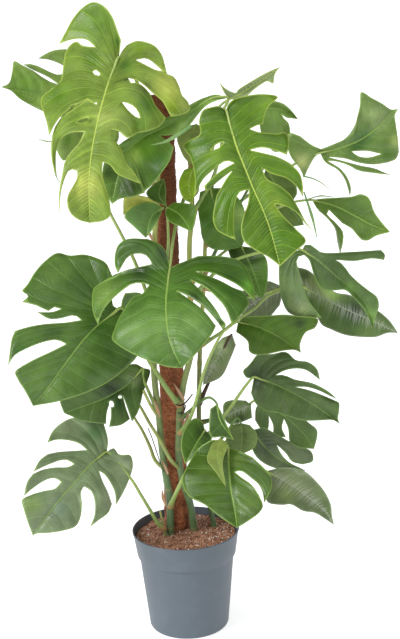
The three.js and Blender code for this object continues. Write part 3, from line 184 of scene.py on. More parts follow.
lobe("left", (121, 40), (117, 29), (112, 16), (104, 6), (93, 2), (82, 8), (72, 20), (65, 33), (59, 44),
    low=[(120, 50)], root=0.07, slit=(95, 47), high=[(86, 39.5), (72, 39.5)])
lobe("left", (82, 46), (77, 41.5), (70, 45), (65, 54), (63, 68), (60, 82), (50, 90), (42, 97), (41, 104),
    (44, 114), (47, 124), (49, 136), root=0.27, slit=(88, 99), high=[(73, 107), (62, 115), (54, 126)])
lobe("left", (57, 178), low=[(72, 110), (60, 119), (53, 132), (51, 150), (52.5, 165)], root=0.47,
    slit=(84, 132), high=[(70, 133), (61, 139), (56.5, 150), (56, 165)])
lobe("left", (59.5, 216), low=[(79, 143), (70, 153), (65, 161), (62, 176), (59, 192)], root=0.66,
    slit=(77, 171), high=[(70, 169.5), (65, 178), (61, 192)])
lobe("left", (73, 186), (67.5, 196), (67.5, 206), (71, 214), (79, 220), (90, 223), low=[(77, 178)])
lobe("right", (127, 45), (136, 41), (146, 42), (155, 46), (162, 55), (165, 65), (167, 74), low=[(122, 51)],
    root=0.1, slit=(136, 60), close=(162, 71), high=[(146, 58.5), (156, 65)])
lobe("right", (167, 74), (174, 77), (179, 86), (182, 95), (188, 102), (190, 110), (181, 115), (171, 117),
    low=[(146, 65), (156, 70)], root=0.2, slit=(128, 78), high=[(137, 80.5), (145, 86), (153, 93.5),
    (162, 101)])
lobe("right", (166, 118), (160, 126), (148, 131), (137, 133), low=[(132, 83.5), (137.5, 82.5),
    (144.5, 87.5), (151, 95), (154, 103)], root=0.37, slit=(122, 102), close=(140, 118), high=[(130, 104),
    (137, 110)])
lobe("right", (137, 133), (132, 136), (127, 138), low=[(128, 110), (136, 117)], root=0.5, slit=(110, 129),
    high=[(118, 131), (124, 136)])
lobe("right", (122, 150), (126, 162), (134, 172), (141, 184), low=[(112, 138), (118, 144)], root=0.62,
    slit=(103, 162), high=[(110, 165), (117, 174), (128, 179)])
lobe("right", (107, 192), (110, 204), (110, 216), (103, 221), (90, 223), low=[(102, 172), (104, 182)])

leaf("leaf_02", "dark", "#7B9643", depth=(110, 60), turn=0.3, arch=14, droop=16, vine=0,
    stalk=[(154, 322, -8), (146, 292, 6), (134, 260, 25), (120, 232, 50), (109, 210, 74), (96, 160, 100)],
    midrib=[(90, 102), (65, 99), (40, 95), (20, 91), (1, 87)],
    mottles=[(24, 85, 26, "rich"), (68, 140, 9, "rich")])
lobe("left", (110, 114), (118, 128), (118, 141), (108, 149), (94, 144), low=[(100, 106)], root=0.08)
lobe("left", (94, 144), (85, 141), (78, 146), (70, 153), (64, 161), (57, 151), (56, 140), root=0.3,
    slit=(62, 112), high=[(59, 125)])
lobe("left", (42, 111), (32, 106), (20, 99), (10, 90), (1, 87), low=[(52, 112)])
lobe("right", (66, 49), (55, 50), (47, 53), (38, 58.5), low=[(86, 75)], root=0.15, slit=(70, 70),
    high=[(62, 65), (50, 60)])
lobe("right", (23, 64.5), low=[(60, 75), (32, 64)], root=0.35, slit=(58, 84), high=[(48, 77), (33, 70)])
lobe("right", (42, 77), (32, 70), (22, 65), (14, 61), (12, 72), (9, 83), (1, 87), low=[(51, 82)])

leaf("leaf_03", "mid", "#688C35", depth=(-20, -130), turn=0.8, arch=20, droop=16, vine=1,
    stalk=[(191, 170, -4), (204, 140, -8), (222, 112, -16)],
    midrib=[(228, 98), (216, 97.5), (205, 101.5), (188, 114), (165, 127), (142, 138), (125, 155),
    (117, 180), (112, 204)],
    mottles=[(178, 124, 16, "painted_sheen"), (160, 165, 22, "shaded"), (130, 185, 22, "deep"),
    (146, 150, 12, "painted_brightness"), (134, 156, 10, "painted_highlight"), (108, 172, 12, "deep")])
lobe("left", (190, 125), (183, 131), (174, 134.5), (165, 135.5), low=[(217, 100.5), (206, 106)], root=0.47,
    slit=(160, 135.5))
lobe("left", (174, 147), (170, 160), (162, 172), (154, 183), (144, 192), low=[(166, 139.5)], root=0.68,
    slit=(131, 155), high=[(135, 164), (140, 180)])
lobe("left", (145, 192.5), (133, 197), (120, 199), (112, 204), low=[(135.6, 164), (140.8, 180)])
lobe("right", (200, 99.5), (180, 111), (160, 121), (140, 131), (120, 144), (106, 158), (102, 178),
    (106, 194), (112, 204), low=[(216, 94.5)])

leaf("leaf_04", "young", "#4F7212", depth=(-75, -235), turn=0, arch=32, droop=26, vine=1,
    stalk=[(192, 215, -6), (214, 175, -30), (224, 130, -55)],
    midrib=[(226, 110), (231, 128), (237, 148), (245, 168), (253, 188), (263, 210), (271, 232), (280, 266)],
    mottles=[(268, 100, 20, "painted_sheen"), (275, 128, 14, "dull"), (214, 155, 14, "painted_sheen"),
    (265, 185, 18, "painted_sheen"), (285, 240, 20, "yellowed"), (296, 222, 12, "deep"),
    (230, 200, 16, "yellowed"), (225, 108, 10, "shaded"), (258, 98, 12, "cool"), (276, 206, 12, "painted_highlight"),
    (280, 232, 12, "yellowed"), (205, 146, 11, "rich"), (248, 156, 12, "pale"), (262, 168, 10, "yellowed")])
lobe("left", (212, 107), (203, 110), (199, 121), (200, 134), (188, 141), (183, 146), (190, 157),
    low=[(219, 106)], root=0.24, slit=(224, 142), close=(211, 150), high=[(217, 144)])
lobe("left", (190, 157), (193, 166), (195, 180), (194, 198), low=[(218, 148.5)], root=0.4, slit=(234, 163),
    high=[(226, 161), (212, 171), (203, 179.5)])
lobe("left", (204, 186), (206, 192), low=[(222, 170), (212, 178)], root=0.43, slit=(232, 171),
    high=[(225, 176), (214, 185)])
lobe("left", (217, 195), (214, 208), (213, 220), (217, 230), (227, 236), (236, 240), low=[(226, 179)],
    root=0.5, slit=(249, 190), high=[(240, 192), (235, 204), (234, 218), (234, 230)])
lobe("left", (244, 214), (241, 228), (244, 241), (255, 250), (268, 257), (280, 266), low=[(248, 203)])
lobe("right", (234, 99), (245, 96), (262, 94), (278, 97), (270, 105), (265, 114), (263, 124),
    low=[(229, 103)], root=0.2, slit=(250, 129), high=[(257, 125.5)])
lobe("right", (277, 134), (286, 132), (289, 143), (287, 155), low=[(258, 132), (268, 133)], root=0.36,
    slit=(250, 150), high=[(262, 147.5), (277, 151)])
lobe("right", (290, 163), (300, 174), (303, 186), (303, 197), low=[(263, 153), (278, 157)], root=0.5,
    slit=(262, 168), high=[(272, 174), (286, 178), (297, 187)])
lobe("right", (290, 194), (298, 207), (306, 222), (314, 232), low=[(267, 179), (279, 185)], root=0.68,
    slit=(275, 204), high=[(285, 206), (297, 213), (304, 222)])
lobe("right", (288, 221), (296, 229), (306, 241), (296, 251), (280, 266), low=[(280, 212)])

leaf("leaf_05", "young", "#8B9D6A", depth=(10, 80), turn=0.6, arch=8, droop=8, vine=1,
    stalk=[(189.5, 158, -2), (206, 125, 9), (222, 104, 9)],
    midrib=[(230, 99), (240, 94), (255, 85), (268, 76), (280, 67)])
lobe("left", (219, 82), low=[(225, 94)], root=0.2, slit=(236, 93), high=[(231, 91.5), (225, 88)])
lobe("left", (242, 87), (250, 82), (262, 75), (270, 71), (280, 67), low=[(238, 90)])
lobe("right", (238, 100), (247, 96), (253, 90.5), (262, 84), (268, 81), (273, 84), (275, 74), (280, 67))

leaf("leaf_06", "mid", "#678439", depth=(60, 70), turn=0.2, arch=8, droop=12, petiole="petiole_shaded",
    vine=2,
    stalk=[(206, 216, 40), (222, 150, 49), (246, 113, 49)],
    midrib=[(258, 110), (272, 108), (285, 111), (298, 119)])
lobe("left", (264, 101), (275, 101), (284, 104), (291, 110), (298, 119), low=[(260, 104)])
lobe("right", (262, 138), (275, 152), (288, 146), (289, 124), (284, 118.5), low=[(259, 122)], root=0.6,
    slit=(282, 115), high=[(283, 117)])
lobe("right", (287, 118), (298, 119))

leaf("leaf_07", "mid", "#627D38", depth=(30, 100), turn=0, arch=14, droop=20, vine=2,
    stalk=[(206, 230, 42), (245, 198, 68), (285, 170, 58), (310, 156, 33)],
    midrib=[(320, 153), (340, 148), (360, 140), (378, 127), (390, 114), (398, 109)],
    mottles=[(374, 115, 18, "painted_sheen"), (388, 152, 14, "rich"), (356, 146, 14, "shaded"),
    (298, 160, 14, "pale"), (365, 136, 14, "shaded"), (396, 142, 10, "painted_highlight"),
    (303, 162, 10, "painted_highlight")])
lobe("left", (304, 178), (300, 169), (291, 157), (287, 145), (289, 133), (300, 136), low=[(315, 157),
    (309, 167)], root=0.05, slit=(321, 149), high=[(312, 145)])
lobe("left", (340, 141.5), (350, 136), (354, 131), (357, 118), (360, 105), (361, 92), (372, 98), (383, 104),
    (391, 109.5), (398, 109), low=[(329, 146)])
lobe("right", (350, 197), low=[(325, 162), (338, 170), (345, 180), (348, 189)], root=0.03, slit=(328, 161),
    high=[(340, 168.5), (347, 177), (351, 188)])
lobe("right", (391, 175), low=[(334, 161), (348, 165), (358, 170.5), (373, 173)], root=0.07,
    slit=(328, 157), high=[(345, 161.5), (360, 165.5), (375, 168.5), (383, 172)])
lobe("right", (388, 162.5), (396, 159), (399, 152), low=[(345, 158.5), (358, 162.5), (374, 164.5)],
    root=0.3, slit=(352, 151.5), close=(381, 154), high=[(358, 156), (368, 157.5)])
lobe("right", (399, 152), (398, 140), (396, 125), (395, 115), (398, 109), low=[(367, 151)])

leaf("leaf_08", "mid", "#547225", depth=(-5, -95), turn=0, arch=18, droop=18, vine=2,
    stalk=[(205, 245, 45), (225, 236, 50), (250, 222, 36), (290, 203, 2)],
    midrib=[(312, 200), (335, 206), (355, 216), (372, 225), (390, 232)],
    mottles=[(385, 232, 10, "pale")])
lobe("left", (340, 197.5), (352, 196.5), (361, 194), (368, 197), (371, 202), (374, 211), (380, 220),
    (390, 232), low=[(322, 198.5)])
lobe("right", (340, 254), low=[(318, 210), (327, 218), (335, 229), (337, 241)], root=0.12, slit=(329, 210),
    high=[(327, 214), (335, 222), (343, 232), (343, 243)])
lobe("right", (342, 223), (352, 229), (357, 235), (362, 240), (368, 240.5), (376, 236), (390, 232),
    low=[(334, 215)])

leaf("leaf_09", "dark", "#516A36", depth=(-50, -135), turn=0, arch=14, droop=20, vine=1,
    stalk=[(189, 300, -8), (225, 265, -25), (262, 252, -38), (290, 248, -46)],
    midrib=[(302, 250), (318, 260.5), (335, 275), (352, 290), (366, 305), (373, 328)],
    mottles=[(315, 290, 14, "painted_brightness"), (350, 288, 10, "painted_glare"), (366, 320, 16, "painted_glare"),
    (285, 285, 16, "pale"), (300, 308, 14, "painted_highlight"), (372, 304, 8, "dull"), (300, 300, 10, "cool")])
lobe("left", (381, 250), (385, 255), (384, 260), low=[(306, 244), (313, 246), (320, 252), (350, 252)],
    root=0.35, slit=(336, 260), high=[(355, 261), (372, 258.5)])
lobe("left", (347, 270), (352, 277), (368, 290), (377, 297), (379, 306), (376, 316), (373, 328),
    low=[(341, 263)])
lobe("right", (279, 263), (279, 280), (282, 300), (289, 313), (305, 317), (322, 318), low=[(290, 252)],
    root=0.06, slit=(304, 255), high=[(297, 258), (298, 268), (302, 284), (309, 301)])
lobe("right", (313, 272), (317, 283), (323, 290), (335, 290.5), (345, 290), (357, 301.5), (366, 312.5),
    (373, 328), low=[(309, 260)])

leaf("leaf_10", "mid", "#476B21", depth=(-110, -310), turn=0, arch=35, droop=28, vine=1,
    stalk=[(191, 178, -4), (185, 196, -21), (178, 216, -42), (173, 240, -74)],
    midrib=[(170, 268), (168, 282), (166, 300), (167, 325), (171, 345), (182, 368)],
    mottles=[(220, 324, 7, "deep"), (160, 330, 30, "painted_sheen"), (106, 296, 20, "painted_highlight"),
    (232, 285, 22, "rich"), (195, 320, 22, "painted_sheen"), (130, 330, 20, "painted_sheen"), (140, 272, 20, "deep"),
    (165, 252, 14, "deep"), (250, 287, 12, "painted_glare"), (205, 272, 14, "yellowed"), (195, 297, 10, "deep"),
    (140, 246, 12, "dull"), (225, 300, 10, "pale")])
lobe("left", (148, 239), (128, 239), (119, 244), (115, 254), (115, 266), (118, 273), low=[(168, 256),
    (161, 245)], root=0.1, slit=(152, 264), high=[(147, 256), (138, 253.5), (128, 257), (122, 266)])
lobe("left", (118, 276), (105, 281), (94, 288), (92, 300), (93, 312), (98, 325), low=[(137, 267.5),
    (124, 271)], root=0.25, slit=(149, 285), high=[(140, 283), (131, 284.5), (123, 290), (118, 294),
    (107, 305), (101, 315)])
lobe("left", (126, 306), (119, 318), (115, 328), (112, 339), (118, 345), (135, 355), (152, 362), (168, 367),
    (182, 368), low=[(142, 294), (134, 296)])
lobe("right", (198, 256), (220, 256), (238, 260), (245, 266), (250, 276), (254, 288), (255, 302),
    low=[(178, 264), (188, 260)], root=0.14, slit=(196, 271.5), high=[(212, 273), (225, 278.5), (236, 284),
    (246, 292)])
lobe("right", (243, 291), (249, 302), (244, 312), (237, 319), (232, 327), low=[(210, 276.5), (222, 281.5),
    (234, 288)], root=0.2, slit=(190, 280), high=[(204, 286.5), (215, 296), (224, 306), (229, 316)])
lobe("right", (221, 318), (226, 325), (223, 330), low=[(199, 289), (208, 299), (217, 311)], root=0.28,
    slit=(177, 291), high=[(191, 298), (205, 308), (216, 320)])
lobe("right", (216, 326), (212, 334), (205, 343), (195, 355), (182, 368), low=[(189, 299), (204, 311)])

leaf("leaf_11", "mid", "#4B6B27", depth=(-50, -195), turn=0, arch=28, droop=26, stout=1.4, vine=1,
    stalk=[(180, 405, -12), (173, 397, -28), (165, 386, -38), (150, 362, -42), (134, 334, -42)],
    midrib=[(121, 308), (98, 325), (85, 338), (74, 352), (62, 368), (50, 385), (33, 406)],
    mottles=[(60, 262, 22, "pale"), (100, 330, 26, "rich"), (50, 332, 20, "dull"), (36, 376, 14, "pale"),
    (52, 394, 14, "pale"), (20, 352, 12, "shaded"), (80, 292, 20, "cool"), (108, 345, 13, "cool"),
    (95, 370, 14, "dull")])
lobe("left", (125, 293), (140, 293), (149, 300), (149, 311), low=[(122, 300)], root=0.05)
lobe("left", (149, 311), (147, 328), (142, 347), (136, 358), (124, 370), (108, 382), (88, 392), (60, 401),
    (33, 406))
lobe("right", (112, 275), (106, 263), (97, 258), (84, 254.5), (70, 255.5), (57, 253), (45, 261), (35, 272),
    (27, 285), (22, 291), (28, 296), (22, 302), low=[(114, 307), (112, 292)], root=0.1, slit=(61, 309),
    high=[(55, 307), (48, 311), (38, 306)])
lobe("right", (37, 312), low=[(52, 312)], root=0.16, slit=(81, 320), high=[(75, 315.5), (60, 318.5),
    (49, 319)])
lobe("right", (15, 331), (12, 338), (10, 350), (8, 366), low=[(66, 322.5), (45, 324), (28, 327)], root=0.36,
    slit=(66, 344), high=[(57, 340), (44, 342), (28, 348), (14, 356)])
lobe("right", (22, 366), (15, 372), (18, 380), (25, 391), (33, 406), low=[(50, 352), (35, 359)])

leaf("leaf_12", "dark", "#486326", depth=(5, -60), turn=0, arch=12, droop=12, vine=0,
    stalk=[(158, 412, -9), (154, 403, -16), (148, 390, -10), (143, 377, 1)],
    midrib=[(143, 368), (128, 384), (105, 398), (84, 406), (64, 413)],
    holes=[(111.5, 404, 3.4, 2.2, 1.2), (120, 397, 1.9, 1.5, 0)],
    mottles=[(132, 376, 14, "painted_sheen"), (112, 390, 16, "deep"), (105, 386, 12, "shaded"),
    (136, 380, 10, "painted_sheen"), (120, 402, 12, "shaded"), (95, 416, 10, "painted_sheen")])
lobe("left", (147, 383), (143, 393), (141, 402), (138, 412), (132, 422), low=[(150, 370)], root=0.22,
    slit=(123, 396), high=[(128, 410)])
lobe("left", (130, 419), (121, 425), (109, 427), low=[(126, 408)], root=0.45, slit=(110, 403),
    high=[(111, 415)])
lobe("left", (106, 424), (95, 423), (82, 421), (73, 417), (64, 413), low=[(107, 412)])
lobe("right", (122, 366), (95, 380), (72, 391), (60, 400), (62, 408), (64, 413), low=[(136, 364)])

leaf("leaf_13", "mid", "#70825C", depth=(-50, -185), turn=0, arch=22, droop=24, vine=3,
    stalk=[(164.5, 529, -19), (158, 523, -27), (150, 510, -38), (141, 495, -50), (131, 479, -57)],
    midrib=[(107, 452), (95, 460), (85, 470), (75, 482), (66, 492), (55, 505), (33, 536)],
    mottles=[(95, 432, 14, "shaded"), (105, 496, 12, "pale"), (30, 505, 16, "painted_brightness"),
    (125, 470, 12, "pale"), (65, 426, 12, "pale"), (60, 510, 14, "cool")])
lobe("left", (114, 448), (120, 455), (130, 455), (133, 465), (130, 477), (124, 491), (116, 505),
    low=[(110, 449.5)], root=0.14, slit=(99, 471), high=[(104, 474), (110, 482), (115, 493)])
lobe("left", (112, 504), (108, 513), (99, 520), (90, 527), low=[(103, 482), (108, 492)], root=0.44,
    slit=(84, 486.5), high=[(91, 491), (95, 503), (94.5, 515)])
lobe("left", (82, 503), (81, 515), (76, 526), (62, 531), (48, 533), (35, 534), (33, 536), low=[(81, 492)])
lobe("right", (104, 424), (90, 418), (72, 418), (60, 424), (52, 432), (47, 443), low=[(108, 440)],
    root=0.12, slit=(87, 450), high=[(79, 443.5), (66, 440), (55, 440)])
lobe("right", (48, 454), (40, 460), (33, 472), low=[(72, 451), (58, 452)], root=0.25, slit=(74, 464),
    high=[(67, 460), (60, 460.5), (50, 464), (42, 467.5)])
lobe("right", (33, 474), (27, 482), (24, 496), low=[(68, 467), (55, 467.5), (42, 470)], root=0.45,
    slit=(61, 482), high=[(56, 478.5), (50, 478.5), (42, 482), (32, 489)])
lobe("right", (33, 494), (22, 500), (24, 510), (28, 523), (33, 536), low=[(55, 488.5), (44, 491)])

leaf("leaf_14", "olive", "#466416", depth=(-70, -120), turn=0, arch=12, droop=16, vine=1,
    stalk=[(180, 434, -12), (188, 422, -34), (194, 408, -46), (198.5, 392, -54), (204, 372, -60),
    (213, 350, -66), (225, 330, -70)],
    midrib=[(238, 322), (258, 327), (279, 337), (301, 353)],
    mottles=[(220, 330, 10, "deep"), (270, 326, 14, "painted_brightness"), (300, 323, 10, "deep")])
lobe("left", (255, 316), (270, 315.5), (285, 314.5), (298, 316), (318, 319), (315, 328), (306, 332),
    (300, 345), (301, 353), low=[(244, 317)])
lobe("right", (236, 332), (242, 336), (248, 342), (249, 351), (254, 354.5), (265, 354.5), (285, 350.5),
    (295, 350), (301, 353))

leaf("leaf_15", "dark", "#49612E", depth=(-35, -130), turn=0, arch=16, droop=20, stout=1.15, vine=2,
    stalk=[(199.5, 440, 50), (214, 429, 15), (228, 411, -22), (247, 384, -32)],
    midrib=[(254, 377), (272, 383), (297, 395), (320, 409), (340, 424)],
    mottles=[(256, 376, 14, "deep"), (316, 396, 14, "pale"), (290, 400, 14, "pale"),
    (258, 386, 11, "dull")])
lobe("left", (253, 360), (257, 355), (272, 354), (286, 352), (296, 360), (308, 362), (317, 369), (320, 380),
    low=[(247, 378), (243, 371), (248, 366)], root=0.15, slit=(276, 375), high=[(285, 370.5), (296, 368.5),
    (306, 370)])
lobe("left", (337, 399), low=[(284, 375), (295, 379.5), (312, 383), (328, 391)], root=0.33, slit=(296, 387),
    high=[(307, 387), (320, 391), (330, 396)])
lobe("left", (335, 400.5), (339, 403), (339, 412), (338, 419), (340, 424), low=[(307, 389.5), (322, 395)])
lobe("right", (251, 393), (256, 404), (266, 411), (278, 413), (290, 417), (303, 420.5), (320, 420.5),
    (333, 420), (340, 424))

leaf("leaf_16", "dark", "#5C7341", depth=(40, 0), turn=0, arch=8, droop=12, vine=2,
    stalk=[(204, 473, 44), (230, 436, 51), (252, 402, 41)],
    midrib=[(262, 400), (278, 411), (295, 425), (307, 438), (314, 449)],
    mottles=[(306, 445, 12, "painted_brightness")])
lobe("left", (280, 402), (295, 411), (308, 422), (317, 430), (317, 438), (314, 449), low=[(268, 397)])
lobe("right", (255, 420), (262, 430), (268, 431), low=[(256, 408)], root=0.22, slit=(269, 416),
    high=[(269, 424)])
lobe("right", (273, 435), (280, 437), (286, 437), low=[(273, 425)], root=0.45, slit=(284, 419),
    high=[(282, 428)])
lobe("right", (289, 438), (291, 446), (301, 448), (314, 449), low=[(288, 428)])

leaf("leaf_17", "mid", "#446119", depth=(-110, -235), turn=0, arch=18, droop=18, stout=1.15, vine=0,
    stalk=[(170, 508, -12), (177, 491, -52), (189, 467, -82), (201, 449, -98), (215, 441, -108)],
    midrib=[(228, 448), (229, 468), (231, 490), (235, 512), (237, 528)],
    mottles=[(212, 470, 14, "painted_sheen"), (236, 460, 12, "painted_sheen"), (250, 502, 14, "pale")])
lobe("left", (212, 440), (200, 447), (190, 461), (182, 481), (190, 497), (205, 505), (220, 517), (237, 528),
    low=[(222, 442)])
lobe("right", (252, 457), (262, 466), (270, 475), (272, 485), (268, 496), (264, 503), low=[(240, 451)],
    root=0.25, slit=(235, 472), high=[(241, 471), (251, 478), (259, 485), (263, 494)])
lobe("right", (259, 495), (263, 506), (260, 512), (250, 520), (237, 528), low=[(241, 477), (252, 485)])
fold("#7A8C40", depth=(-112, -208), turn=0, arch=10, droop=8,
    midrib=[(221, 438), (217, 455), (226, 487)])
lobe("left", (229, 445), (223, 461), (226, 487))
lobe("right", (212, 443), (207, 460), (214, 470), (226, 487))

leaf("leaf_18", "mid", "#4C6E20", depth=(-45, -85), turn=0, arch=6, droop=10, vine=1,
    stalk=[(182, 480, -11), (196, 458, -30), (203, 440, -36)],
    midrib=[(205, 430), (196, 444), (185, 464)],
    mottles=[(205, 432, 12, "deep")])
lobe("left", (213, 436), (208, 447), (197, 455), (185, 464))
lobe("right", (203, 422), (195, 418), (187, 425), (182, 436), (181, 449), (185, 464))

leaf("leaf_19", "mid", "#3D5921", depth=(-80, -110), turn=0, arch=4, droop=6, petiole="petiole_shaded",
    vine=1,
    stalk=[(179.5, 421, -12), (190, 411, -24), (201, 401, -42), (211, 398, -74)],
    midrib=[(217, 404), (220, 420), (234, 440)])
lobe("left", (221, 411), (227, 425), (234, 440))
lobe("right", (210, 409), (209, 424), (211, 437), (222, 437), (234, 440))

leaf("leaf_20", "olive", "#5D713B", depth=(-55, -80), turn=0, arch=8, droop=16, petiole="petiole_shaded",
    vine=2,
    stalk=[(201, 457, 47), (224, 436, 0), (238, 418, -48)],
    midrib=[(241, 423), (242, 438), (240, 455)])
lobe("left", (250, 425), (257, 434), (255, 447), (240, 455))
lobe("right", (231, 425), (226, 438), (229, 449), (240, 455))

leaf("leaf_21", "dark", "#586744", depth=(-20, -60), turn=0, arch=8, droop=12, vine=2,
    stalk=[(206, 486, 41), (228, 458, 15), (245, 432, -12)],
    midrib=[(252, 430), (266, 448), (282, 461), (306, 471)],
    mottles=[(255, 432, 12, "shaded"), (266, 446, 12, "cool")])
lobe("left", (264, 427), (280, 436), (298, 446), (311, 451), (313, 461), (302.5, 464.5), root=0.3,
    slit=(277, 445), high=[(286, 453.5), (292, 461.5)])
lobe("left", (277, 445), (281, 454.5), (289, 463), (300, 467.8), (306, 471))
lobe("right", (250, 443), (255, 455), (265, 464), (283, 470), (306, 471))

leaf("leaf_22", "dark", "#5F7047", depth=(-45, -135), turn=0, arch=12, droop=18, finish="leaf_painted_sheen",
    vine=1,
    stalk=[(187, 495, -7), (215, 478, -25), (248, 468, -38)],
    midrib=[(266, 471), (285, 481), (305, 495), (325, 511), (334, 525)],
    mottles=[(290, 485, 24, "pale"), (290, 490, 14, "painted_brightness"), (326, 506, 12, "dull")])
lobe("left", (280, 467.5), (295, 468), (306, 472), (316, 481), (325, 492), (331, 505), (332, 515),
    (334, 525))
lobe("right", (263, 482), (265, 495), (268, 502.5), (282, 505), (291, 504.5), (303, 511), (315, 513),
    (325, 519), (334, 525))

leaf("leaf_23", "dark", "#577B2D", depth=(25, -10), turn=0, arch=12, droop=14, vine=1,
    stalk=[(190, 225, -6), (199, 203, 15), (208, 190, 22)],
    midrib=[(210, 188), (216, 208), (226, 228), (242, 247)],
    mottles=[(240, 214, 12, "painted_highlight"), (206, 220, 14, "rich")])
lobe("left", (226, 188), (240, 200), (246, 216), (247, 232), (242, 247))
lobe("right", (200, 192), (198, 208), (200, 224), (203, 240), (212, 249), (226, 250), (242, 247))

leaf("leaf_24", "dark", "#537726", depth=(10, -40), turn=0, arch=10, droop=12, vine=1,
    stalk=[(189, 285, -8), (212, 262, -1), (234, 246, 5)],
    midrib=[(241, 246), (250, 264), (257, 282), (262, 299)],
    mottles=[(252, 256, 16, "deep"), (235, 256, 12, "deep")])
lobe("left", (256, 248), (266, 258), (268, 275), (266, 290), (262, 299))
lobe("right", (228, 250), (231, 259), (240, 272), (250, 288), (262, 299))

leaf("leaf_25", "mid", "#638743", depth=(-62, -105), turn=0, arch=6, droop=10, vine=0,
    stalk=[(156.5, 214, -14), (160, 210, -40)],
    midrib=[(163, 208), (152, 216), (146, 238)])
lobe("left", (161, 214), (155, 226), (146, 238))
lobe("right", (155, 202.5), (143, 203), (133, 207), (124, 216), (133, 226), (146, 238))
fold("#B0B552", depth=(-62, -66), turn=0, arch=3, droop=5,
    midrib=[(163, 208), (142, 204), (123, 215)])
lobe("left", (148, 210), (134, 210), (123, 215))
lobe("right", (148, 197), (136, 195), (125, 196), (123, 215))

leaf("leaf_26", "mid", "#547C15", depth=(-58, -105), turn=0, arch=6, droop=10, vine=0,
    stalk=[(154, 285, -10), (163, 272, -34), (168, 250, -46), (168, 225, -54)],
    midrib=[(167, 207), (180, 215), (192, 232)])
lobe("left", (174, 202.5), (184, 203), (195, 206), (195, 220), (192, 232))
lobe("right", (165, 214), (170, 222), (181, 227), (192, 232))
fold("#3E5D14", depth=(-58, -44), turn=0, arch=2, droop=4,
    midrib=[(167, 207), (159, 195), (164, 178)])
lobe("left", (151, 200), (146, 193), (154, 184), (164, 178))
lobe("right", (166, 199), (166, 188), (164, 178))

leaf("leaf_27", "young", "#8AAD25", depth=(-35, -70), turn=0, arch=6, droop=10, vine=1,
    stalk=[(191.5, 195, -5), (197, 190, -24), (197, 175, -36)],
    midrib=[(194, 166), (189, 182), (191, 203)])
lobe("left", (197, 180), (195, 195), (191, 203))
lobe("right", (184, 170), (179, 181), (180, 192), (185, 200), (191, 203))

leaf("leaf_28", "dark", "#7E8C62", depth=(70, 40), turn=0, arch=8, droop=12, petiole="petiole_purple",
    finish="leaf_painted_sheen", vine=2,
    stalk=[(199, 405, 55), (212, 375, 63), (228, 340, 59)],
    midrib=[(232, 334), (220, 354), (203, 385)],
    mottles=[(222, 345, 9, "painted_glare"), (218, 358, 9, "rich")])
lobe("left", (236, 345), (230, 360), (221, 377), (203, 385))
lobe("right", (222, 338), (211, 352), (204, 368), (203, 385))

leaf("leaf_29", "dark", "#698141", depth=(30, 10), turn=0, arch=6, droop=8, petiole="petiole_shaded",
    finish="leaf_painted_sheen", vine=2,
    stalk=[(199, 424, 52), (222, 416, 52), (243, 403, 29)],
    midrib=[(251, 405), (237, 411), (223, 417)],
    mottles=[(240, 418, 10, "deep")])
lobe("left", (252, 418), (239, 423), (229, 424), (223, 417))
lobe("right", (246, 400.5), (232, 400), (224, 403), (223, 417))

leaf("leaf_30", "dark", "#526B33", depth=(10, -60), turn=0, arch=12, droop=18, finish="leaf_painted_sheen",
    vine=2,
    stalk=[(201, 345, 58), (222, 332, 37), (240, 318, 11), (255, 308, -10), (268, 296, -10), (286, 289, 0)],
    midrib=[(303, 287), (325, 299), (350, 311), (375, 322), (398, 333)],
    mottles=[(315, 282, 20, "painted_highlight"), (330, 292, 14, "painted_glare"), (355, 311, 14, "deep"),
    (305, 275, 10, "deep"), (352, 314, 18, "shaded"), (330, 296, 12, "pale")])
lobe("left", (297, 267), (308, 270), (320, 280), (335, 292), (350, 295), (365, 303), (380, 312), (390, 321),
    (398, 333))
lobe("right", (304, 300), (309, 306), (316, 315), (322, 325), (330, 329), (345, 335), (360, 337),
    (376, 337), (388, 333), (398, 333))

leaf("leaf_31", "dark", "#546C29", depth=(60, 40), turn=0, arch=8, droop=14, petiole="petiole_shaded",
    vine=2,
    stalk=[(204, 275, 50), (234, 215, 31), (258, 174, 43)],
    midrib=[(266, 168), (278, 188), (290, 208), (304, 225)])
lobe("left", (284, 174), (296, 186), (297, 194), (293, 202), (300, 213), (304, 225))
lobe("right", (262, 180), (268, 198), (278, 215), (290, 226), (304, 225))

leaf("leaf_32", "dark", "#8A9751", depth=(-28, -40), turn=0, arch=6, droop=10, vine=1,
    stalk=[(188.3, 147, 0), (193, 138, -12), (196, 130, -22)],
    midrib=[(196, 124), (190, 142), (196, 166)])
lobe("left", (184, 127), (177, 138), (180, 149), (186, 160), (196, 166))
lobe("right", (212, 130), (215, 145), (208, 158), (196, 166))

leaf("leaf_33", "dark", "#5C6945", depth=(75, 85), turn=0, arch=8, droop=10, finish="leaf_painted_sheen", vine=2,
    stalk=[(203, 288, 54), (240, 298, 70), (270, 292, 71)],
    midrib=[(284, 287), (262, 298), (240, 313)])
lobe("left", (280, 305), (268, 318), (252, 321), (240, 313))
lobe("right", (270, 281), (254, 284), (242, 292), (237, 303), (240, 313))

